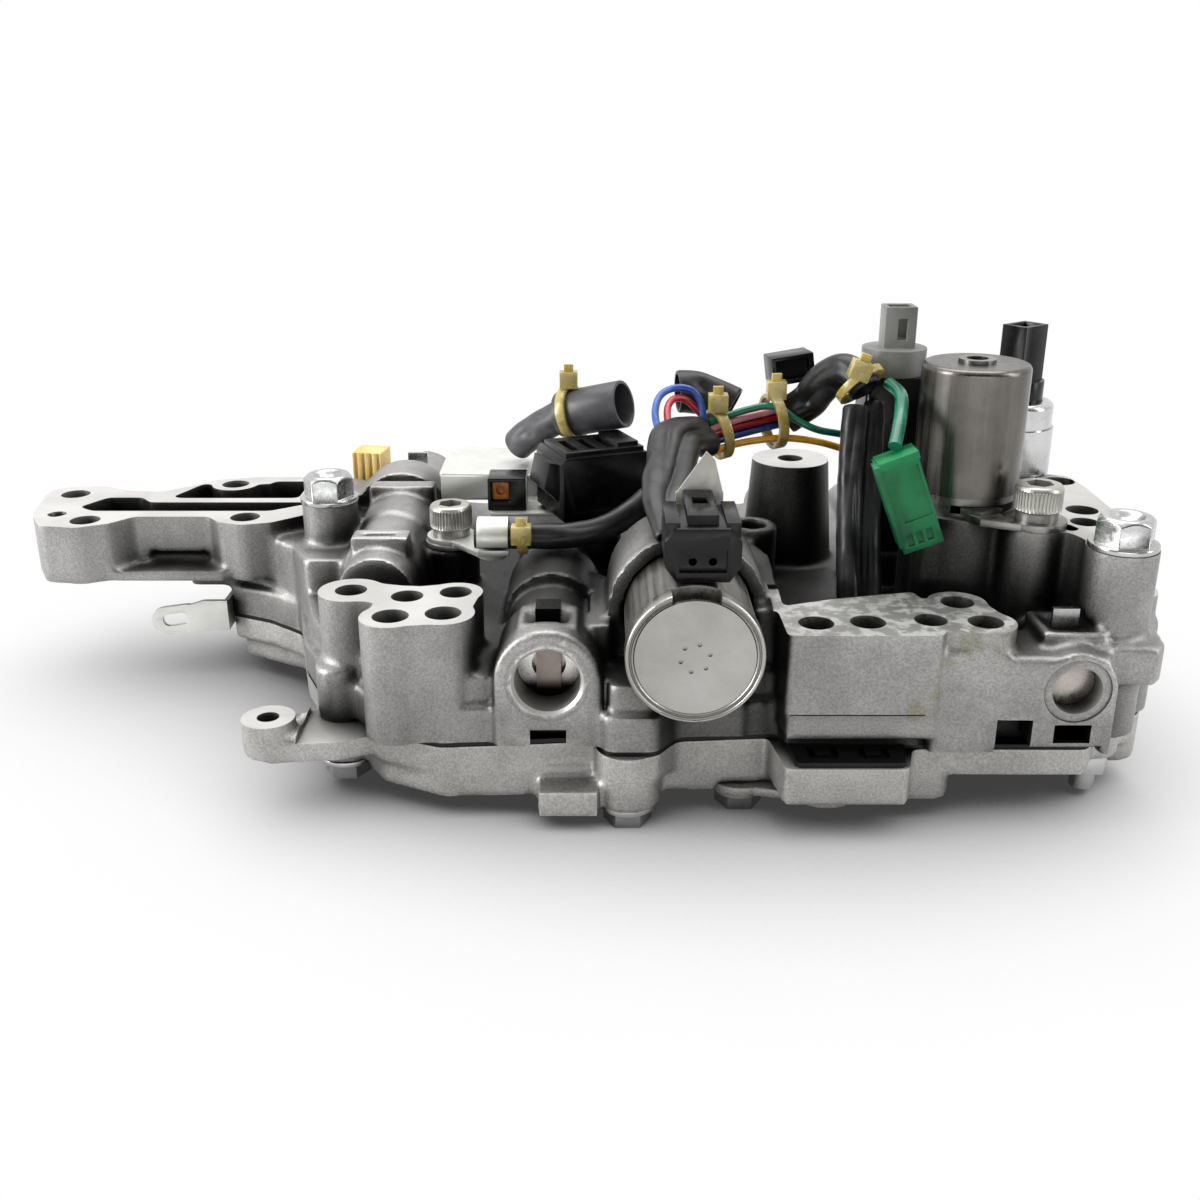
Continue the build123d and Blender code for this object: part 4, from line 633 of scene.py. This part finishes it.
# Socket head cap screws at x, y, seat and tip: the shank's heights start at the tip, the head's at the seat;
# the knurl is a range of heights, and the hexagon socket has a radius, a floor and a top
capScrews = {
    "places": [(-25.4, -2.9, 50.0, 27.0), (119.4, -42.3, 66.8, 45.0)],
    "shank": [(2.8, 0.0), (3.0, 0.3)],
    "head": [(3.0, 0.0), (5.0, 0.0), (5.0, 1.9), (5.1, 2.1), (5.45, 2.25), (5.68, 2.55), (5.7, 2.8),
             (5.7, 4.2), (5.7, 5.8), (5.7, 7.2), (5.68, 7.5), (5.45, 8.1), (5.1, 8.45), (4.7, 8.6),
             (3.9, 8.6)],
    "sides": 264,
    "teeth": 44,
    "toothDepth": 0.2,
    "knurl": (2.7, 7.3),
    "socket": (3.3, 4.4, 9.6),
}
screws = []
for x, y, seat, low in capScrews["places"]:
    profile = [(radius, low + height) for radius, height in capScrews["shank"]]
    profile += [(radius, seat + height) for radius, height in capScrews["head"]]
    knurl = [seat + height for height in capScrews["knurl"]]
    screw = turned("screw", profile, (x, y), "Z", capScrews["sides"], knurledSteel, capScrews["teeth"],
                   capScrews["toothDepth"], knurl)
    radius, floorHeight, topHeight = capScrews["socket"]
    combine(screw, drills([(x, y, radius, seat + floorHeight, seat + topHeight)], "Z", 6), "DIFFERENCE")
    screws.append(screw)
capLook = join(screws, "capScrews")
smoothShade(capLook, 35)
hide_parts("cap_screws")
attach(capLook, mainBody)
print("turned pieces ready")


# Line of a sleeve: a smooth spline with the route's points as its control points, read back and spaced evenly
def splineLine(points, count):
    curve = bpy.data.curves.new("line", "CURVE")
    curve.dimensions = "3D"
    curve.resolution_u = 24
    spline = curve.splines.new("NURBS")
    spline.points.add(len(points) - 1)
    for control, point in zip(spline.points, points):
        control.co = (*(Vector(point) * mm), 1.0)
    spline.order_u = 3
    spline.use_endpoint_u = True
    holder = bpy.data.objects.new("line", curve)
    bpy.context.scene.collection.objects.link(holder)
    bpy.context.view_layer.update()
    mesh = bpy.data.meshes.new_from_object(holder.evaluated_get(bpy.context.evaluated_depsgraph_get()))
    line = np.empty(len(mesh.vertices) * 3, np.float32)
    mesh.vertices.foreach_get("co", line)
    line = line.reshape(-1, 3) / mm
    bpy.data.objects.remove(holder)
    bpy.data.curves.remove(curve)
    bpy.data.meshes.remove(mesh)
    length = np.concatenate([[0.0], np.cumsum(np.linalg.norm(np.diff(line, axis=0), axis=1))])
    wanted = np.linspace(0.0, length[-1], count)
    return np.stack([np.interp(wanted, length, line[:, axis]) for axis in range(3)], -1), length[-1]


# What all sleeves and wires share: radians of a ripple to the millimetre and its swing round the tube, the
# reach of a taper along the line, how deep and how far from its tip an end turns in, in millimetres, and the
# shares of the radius at the rim and the floor of a mouth
tubeForm = {"ripple": 0.9, "swing": 2.0, "taper": 0.3, "turnIn": 0.25, "turnReach": 0.35, "rim": 0.86,
            "floor": 0.84}


# Soft tube along a line: its radius is the sleeve's, less a flattening by the square of a sine, less each
# crease, a bell along the line and round the tube, less a ripple along it; a taper narrows its start, and
# both ends turn in to a shallow mouth. A crease is its place and reach along the line, from 0 to 1, its angle
# and width round the tube in degrees, its depth, and the degrees by which it winds
def softTube(name, settings, material, count=110, sides=72):
    line, length = splineLine(settings["points"], count)
    tangent = np.gradient(line, axis=0)
    tangent /= np.linalg.norm(tangent, axis=1)[:, None]
    sideways = np.array(settings["side"], float)
    side = sideways - tangent * (tangent @ sideways)[:, None]
    side /= np.linalg.norm(side, axis=1)[:, None]
    other = np.cross(tangent, side)
    along = np.linspace(0.0, 1.0, count)[:, None]
    angle = np.linspace(0.0, 2.0 * math.pi, sides, endpoint=False)[None, :]
    winding = math.radians(settings.get("turn", 0.0)) * along
    flatAngle = angle - winding - math.radians(settings.get("flatAt", 0.0))
    radius = settings["radius"] * (1.0 - settings["flat"] * np.sin(flatAngle) ** 2)
    for place, reach, where, width, depth, twist in settings["creases"]:
        offset = angle - math.radians(where) - math.radians(twist) * (along - place)
        offset = np.abs((offset + math.pi) % (2.0 * math.pi) - math.pi)
        bell = np.exp(-((along - place) / reach) ** 2) * np.exp(-(offset / math.radians(width)) ** 1.5)
        radius = radius - depth * bell
    ripple = 1.0 + np.sin(length * along * tubeForm["ripple"] + tubeForm["swing"] * np.sin(angle))
    radius = radius - settings.get("ripple", 0.0) * ripple
    radius = radius * (1.0 - settings.get("taper", 0.0) * np.exp(-(along / tubeForm["taper"]) ** 2))
    ends = np.minimum(along, 1.0 - along) * length
    radius = (radius - tubeForm["turnIn"] * np.exp(-(ends / tubeForm["turnReach"]) ** 2))[:, :, None]
    outward = np.cos(angle)[:, :, None] * side[:, None, :] + np.sin(angle)[:, :, None] * other[:, None, :]
    rings = line[:, None, :] + radius * outward
    mouths = []
    for end, inward in ((0, 1), (-1, -1)):
        middle = line[end]
        rim = middle + (rings[end] - middle) * tubeForm["rim"]
        inside = middle + (rings[end] - middle) * tubeForm["floor"]
        floor = inside + inward * tangent[end] * settings["mouth"]
        mouths.append((rim, floor))
    (startRim, startFloor), (endRim, endFloor) = mouths
    rings = np.concatenate([startFloor[None], startRim[None], rings, endRim[None], endFloor[None]])
    return ringSurface(name, rings, material, 60)


sleeves = {
    "front_sleeve": {
        "radius": 6.9, "side": (0, 0, 1), "flat": 0.42, "flatAt": 90.0, "turn": 25.0, "ripple": 0.04,
        "mouth": 3.0, "taper": 0.52,
        "points": [(30.8, -56.6, 66.6), (29.0, -48.0, 71.0), (31.4, -36.0, 74.0), (32.6, -24.0, 77.0),
                   (35.0, -13.0, 80.4), (42.0, -5.5, 77.6)],
        "creases": [(0.45, 0.35, 40.0, 20.0, 1.9, 30.0), (0.70, 0.22, -20.0, 18.0, 1.6, -40.0),
                    (0.86, 0.16, 60.0, 24.0, 1.7, 30.0), (0.55, 0.10, -70.0, 30.0, 1.2, 0.0),
                    (0.22, 0.10, 20.0, 26.0, 0.8, 0.0)],
    },
    "wire_boot": {
        "radius": 6.0, "side": (0, 0, 1), "flat": 0.12, "flatAt": 20.0, "ripple": 0.05, "mouth": 1.6,
        "points": [(36.0, 8.4, 86.6), (43.5, 9.4, 87.0), (51.0, 7.0, 83.0)],
        "creases": [(0.45, 0.20, 60.0, 26.0, 1.6, 40.0), (0.8, 0.25, 120.0, 40.0, 1.6, 0.0),
                    (0.7, 0.3, -20.0, 30.0, 1.4, 20.0)],
    },
    "loop_sleeve": {
        "radius": 5.0, "side": (0.7, 0.7, 0.0), "flat": 0.12, "flatAt": 90.0, "turn": 60.0, "ripple": 0.05,
        "mouth": 1.2,
        "points": [(64.8, 3.8, 80.8), (70.6, 3.0, 84.4), (72.6, -1.6, 90.4), (76.2, -6.6, 95.2),
                   (79.6, -10.4, 95.4), (82.2, -13.2, 91.5)],
        "creases": [(0.35, 0.2, 200.0, 30.0, 1.8, 60.0), (0.15, 0.12, 250.0, 26.0, 1.4, 0.0),
                    (0.62, 0.2, 160.0, 26.0, 1.3, -40.0), (0.85, 0.12, 230.0, 30.0, 1.2, 0.0)],
    },
    "clip_sleeve": {
        "radius": 3.4, "side": (0, 0, 1), "flat": 0.05, "ripple": 0.04, "mouth": 2.0,
        "points": [(-17.5, -19.6, 54.8), (-6.0, -19.6, 54.8), (8.0, -19.0, 54.4), (20.0, -17.0, 57.0),
                   (28.0, -12.0, 63.0)],
        "creases": [(0.35, 0.12, 60.0, 30.0, 0.7, 30.0), (0.6, 0.15, 40.0, 30.0, 0.6, 60.0),
                    (0.8, 0.12, 90.0, 30.0, 0.8, 0.0)],
    },
    "left_sleeve": {
        "radius": 4.8, "side": (0, 0, 1), "flat": 0.10, "ripple": 0.05, "mouth": 1.2,
        "points": [(-9.5, 35.0, 65.0), (-3.0, 29.5, 72.5), (5.0, 24.9, 76.4)],
        "creases": [(0.4, 0.15, 80.0, 40.0, 1.1, 0.0), (0.7, 0.2, 40.0, 30.0, 0.9, 40.0)],
    },
    "sleeve_front_run": {
        "radius": 3.3, "side": (1, 0, 0), "flat": 0.06, "flatAt": 30.0, "turn": 60.0, "ripple": 0.05,
        "mouth": 0.8,
        "points": [(79.7, -15.2, 87.6), (78.1, -22.0, 76.0), (76.7, -33.0, 58.0), (76.5, -41.0, 44.0),
                   (76.5, -43.0, 37.4)],
        "creases": [(0.2, 0.2, 100.0, 24.0, 0.8, 60.0), (0.55, 0.25, 60.0, 22.0, 0.7, -50.0),
                    (0.85, 0.15, 120.0, 26.0, 0.6, 20.0)],
    },
    "sleeve_rear_run": {
        "radius": 3.3, "side": (1, 0, 0), "flat": 0.06, "flatAt": 80.0, "turn": -50.0, "ripple": 0.05,
        "mouth": 0.8,
        "points": [(85.4, -11.0, 87.6), (83.7, -17.8, 76.0), (82.3, -28.8, 58.0), (82.1, -36.8, 44.0),
                   (82.1, -38.8, 37.4)],
        "creases": [(0.3, 0.25, 80.0, 24.0, 0.8, -40.0), (0.7, 0.25, 110.0, 24.0, 0.7, 50.0)],
    },
}
for name, settings in sleeves.items():
    piece = softTube(name.replace("_", "") + "Look", settings, materialOf[name])
    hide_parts(name)
    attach(piece, mainBody)

# Blue and red wires: each rises from inside the front sleeve in an arc, and runs on through the ties
thin = {"radius": 0.95, "side": (0, 0, 1), "flat": 0.0, "creases": [], "mouth": 0.3}
wires = {
    "blue_wire": [
        [(31.8, -17.0, 78.2), (28.9, -11.6, 82.4), (29.7, -5.0, 88.0), (34.0, -0.8, 89.8), (39.6, -1.0, 89.4),
         (42.6, -1.6, 84.0), (42.5, -3.4, 77.0)],
        [(41.0, -6.0, 75.4), (46.0, -2.6, 75.6), (52.0, 0.0, 76.9), (64.0, 3.2, 79.0)],
    ],
    "red_wire": [
        [(33.2, -15.0, 79.4), (31.9, -8.4, 84.4), (33.6, -3.2, 87.2), (37.0, -1.0, 87.0), (40.0, -0.6, 84.6),
         (43.3, -0.9, 80.6), (43.4, -2.8, 77.6)],
        [(41.4, -5.6, 77.2), (46.0, -2.4, 77.6), (52.0, 0.0, 79.0), (63.8, 3.3, 81.1)],
    ],
}
for name, routes in wires.items():
    runs = [softTube("wire", {**thin, "points": route}, materialOf[name], 90, 24) for route in routes]
    wireLook = join(runs, name.replace("_", "") + "Look")
    smoothShade(wireLook, 60)
    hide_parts(name)
    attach(wireLook, mainBody)

# Thin black wires that end inside the open sleeve, and dark filler wires in the middle of the bundle that
# stand in for the shade between its wires
mouthRoutes = [
    [(9.5, 23.5, 78.6), (14.0, 21.2, 80.9), (18.6, 17.6, 81.9)],
    [(9.0, 22.0, 76.0), (14.0, 19.0, 77.4), (19.0, 16.9, 79.4)],
    [(10.5, 21.4, 79.9), (14.5, 19.6, 78.6), (18.4, 19.6, 78.0)],
]
shadeFillerRoute = [(42.0, -3.6, 75.2), (48.0, -0.2, 76.2), (55.0, 2.6, 77.8), (65.0, 5.0, 79.6)]
shadeFillerRadius = 1.3
shadeFillerRises = (0.0, 2.2, 4.0)
ends = [softTube("mouthWire", {**thin, "points": route}, blackVinyl, 40, 20) for route in mouthRoutes]
for rise in shadeFillerRises:
    route = [(x, y, z + rise) for x, y, z in shadeFillerRoute]
    ends.append(softTube("innerWire", {**thin, "radius": shadeFillerRadius, "points": route}, blackVinyl, 60, 20))
mouthLook = join(ends, "mouthWires")
smoothShade(mouthLook, 60)
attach(mouthLook, mainBody)
print("sleeves ready")


# Pieces whose CAD shape is right: a copy, freed of its flat triangles' edges, whose sharp edges are rounded
def rounded(name, width):
    piece = cadCopy(name, name.replace("_", "") + "Look", materialOf[name])
    body = bmesh.new()
    body.from_mesh(piece.data)
    bmesh.ops.dissolve_limit(body, angle_limit=math.radians(2.0), verts=body.verts, edges=body.edges)
    body.to_mesh(piece.data)
    body.free()
    bevel = piece.modifiers.new("edges", "BEVEL")
    bevel.width = width * mm
    bevel.segments = 2
    bevel.limit_method = "ANGLE"
    bevel.angle_limit = math.radians(32.0)
    bevel.harden_normals = False
    bake(piece)
    smoothShade(piece, 40)
    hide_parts(name)
    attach(piece, mainBody)


edgeWidths = {
    "main_connector": 0.35, "front_solenoid_connector": 0.35, "green_connector": 0.3, "small_connector": 0.4,
    "cream_connector": 0.4, "terminal_holder": 0.35, "amber_terminal": 0.2, "coil_connector_cap": 0.3,
    "rear_solenoid_connector": 0.3, "cable_ties": 0.5, "sheet_cover": 0.3, "wire_clip": 0.2,
    "solenoid_bracket": 0.25, "front_latch_sheet": 0.2, "left_tab": 0.2, "flange_bolts": 0.25,
    "bottom_bolts": 0.3, "stud_nut": 0.3, "bottom_cover": 0.4, "coil_body": 0.3, "open_sleeve": 0.25,
    "cap_screw_washer": 0.25,
}
for name, width in edgeWidths.items():
    rounded(name, width)
print("rounded pieces ready")

# Coil springs: copies with meshes of their own; each is listed with its spool's joint, its seat, length and
# travel
springs = {
    "front_spring": {"joint": "front_valve_slide", "seat": -50.0, "length": 16.0, "travel": 5.0},
    "right_spring": {"joint": "right_valve_slide", "seat": -56.0, "length": 12.0, "travel": 4.0},
    "left_spring": {"joint": "left_valve_slide", "seat": 52.0, "length": 22.0, "travel": 5.0},
}
for name, settings in springs.items():
    springLook = cadCopy(name, name.replace("_", "") + "Look", materialOf[name])
    smoothShade(springLook, 50)
    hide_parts(name)
    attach(springLook, mainBody)
    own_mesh(springLook)
print("springs ready")

# Floor: white to the eye and in reflections, softly shaded where the object stands over it, pale otherwise.
# Its half width and the reach of its shade are in metres, and the shade deepens as the floor is less open
ground = {"half": 6, "pale": (0.9, 0.9, 0.9, 1.0), "reach": 0.14, "openness": (0.20, 0.89), "darkest": 0.05}
half = ground["half"]
floorMesh = bpy.data.meshes.new("floor")
floorMesh.from_pydata([(-half, -half, 0), (half, -half, 0), (half, half, 0), (-half, half, 0)], [],
                      [(0, 1, 2, 3)])
floorMaterial, tree, surface = newMaterial("paleFloor")
surface.inputs["Base Color"].default_value = ground["pale"]
surface.inputs["Roughness"].default_value = 0.6
surface.inputs["Specular IOR Level"].default_value = 0.2
openFloor = addNode(tree, "ShaderNodeAmbientOcclusion", {"Distance": ground["reach"]}, "AO", samples=24)
inputs = {"Value": openFloor, "From Min": ground["openness"][0], "From Max": ground["openness"][1],
          "To Min": ground["darkest"], "To Max": 1.0}
shade = addNode(tree, "ShaderNodeMapRange", inputs, interpolation_type="LINEAR")
glow = addNode(tree, "ShaderNodeEmission", {"Color": shade, "Strength": 1.0})
seen = addNode(tree, "ShaderNodeLightPath", output="Is Camera Ray")
for kind in ("Is Glossy Ray", "Is Transmission Ray"):
    ray = addNode(tree, "ShaderNodeLightPath", output=kind)
    seen = addNode(tree, "ShaderNodeMath", {0: seen, 1: ray}, operation="MAXIMUM")
mixed = addNode(tree, "ShaderNodeMixShader", {0: seen, 1: surface.outputs["BSDF"], 2: glow})
tree.links.new(mixed, tree.nodes["Material Output"].inputs["Surface"])
floor = newPiece("floor", floorMesh, floorMaterial)

# World: white to the eye; for its light a pale room, brighter behind the object and above than in front
room = {"dark": 0.045, "pale": 0.98, "lean": (0.0, 0.85, 0.75), "darkAt": -0.35, "paleAt": 0.65}
world = bpy.data.worlds.new("studio")
bpy.context.scene.world = world
world.use_nodes = True
tree = world.node_tree
direction = addNode(tree, "ShaderNodeTexCoord", output="Generated")
inputs = {0: direction, 1: room["lean"]}
lean = addNode(tree, "ShaderNodeVectorMath", inputs, "Value", operation="DOT_PRODUCT")
inputs = {"Value": lean, "From Min": room["darkAt"], "From Max": room["paleAt"], "To Min": room["dark"],
          "To Max": room["pale"]}
level = addNode(tree, "ShaderNodeMapRange", inputs, interpolation_type="SMOOTHSTEP")
seen = addNode(tree, "ShaderNodeLightPath", output="Is Camera Ray")
inputs = {mixShare: seen, mixBelow: level, mixAbove: (1.0, 1.0, 1.0, 1.0)}
shown = addNode(tree, "ShaderNodeMix", inputs, mixResult, data_type="RGBA")
tree.links.new(shown, tree.nodes["Background"].inputs["Color"])
tree.nodes["Background"].inputs["Strength"].default_value = 1.0

# Soft boxes: place, aim and size in metres, power in watts
softBoxes = {
    "topLight": {"place": (0.0, 0.25, 0.9), "aim": (0.0, 0.0, 0.05), "size": (1.0, 0.6), "power": 6.5},
    "leftLight": {"place": (-0.85, -0.2, 0.35), "aim": (0.0, 0.0, 0.05), "size": (0.3, 0.7), "power": 8.5},
    "rightLight": {"place": (0.85, -0.3, 0.4), "aim": (0.0, 0.0, 0.05), "size": (0.25, 0.7), "power": 3.0},
    "frontLight": {"place": (0.0, -1.1, 0.12), "aim": (0.0, 0.0, 0.04), "size": (1.2, 0.2), "power": 1.6},
}
for name, settings in softBoxes.items():
    data = bpy.data.lights.new(name, "AREA")
    data.shape = "RECTANGLE"
    data.size, data.size_y = settings["size"]
    data.energy = settings["power"]
    light = bpy.data.objects.new(name, data)
    bpy.context.scene.collection.objects.link(light)
    light.location = settings["place"]
    aim = Vector(settings["aim"]) - Vector(settings["place"])
    light.rotation_euler = aim.to_track_quat("-Z", "Y").to_euler()
print("studio ready")
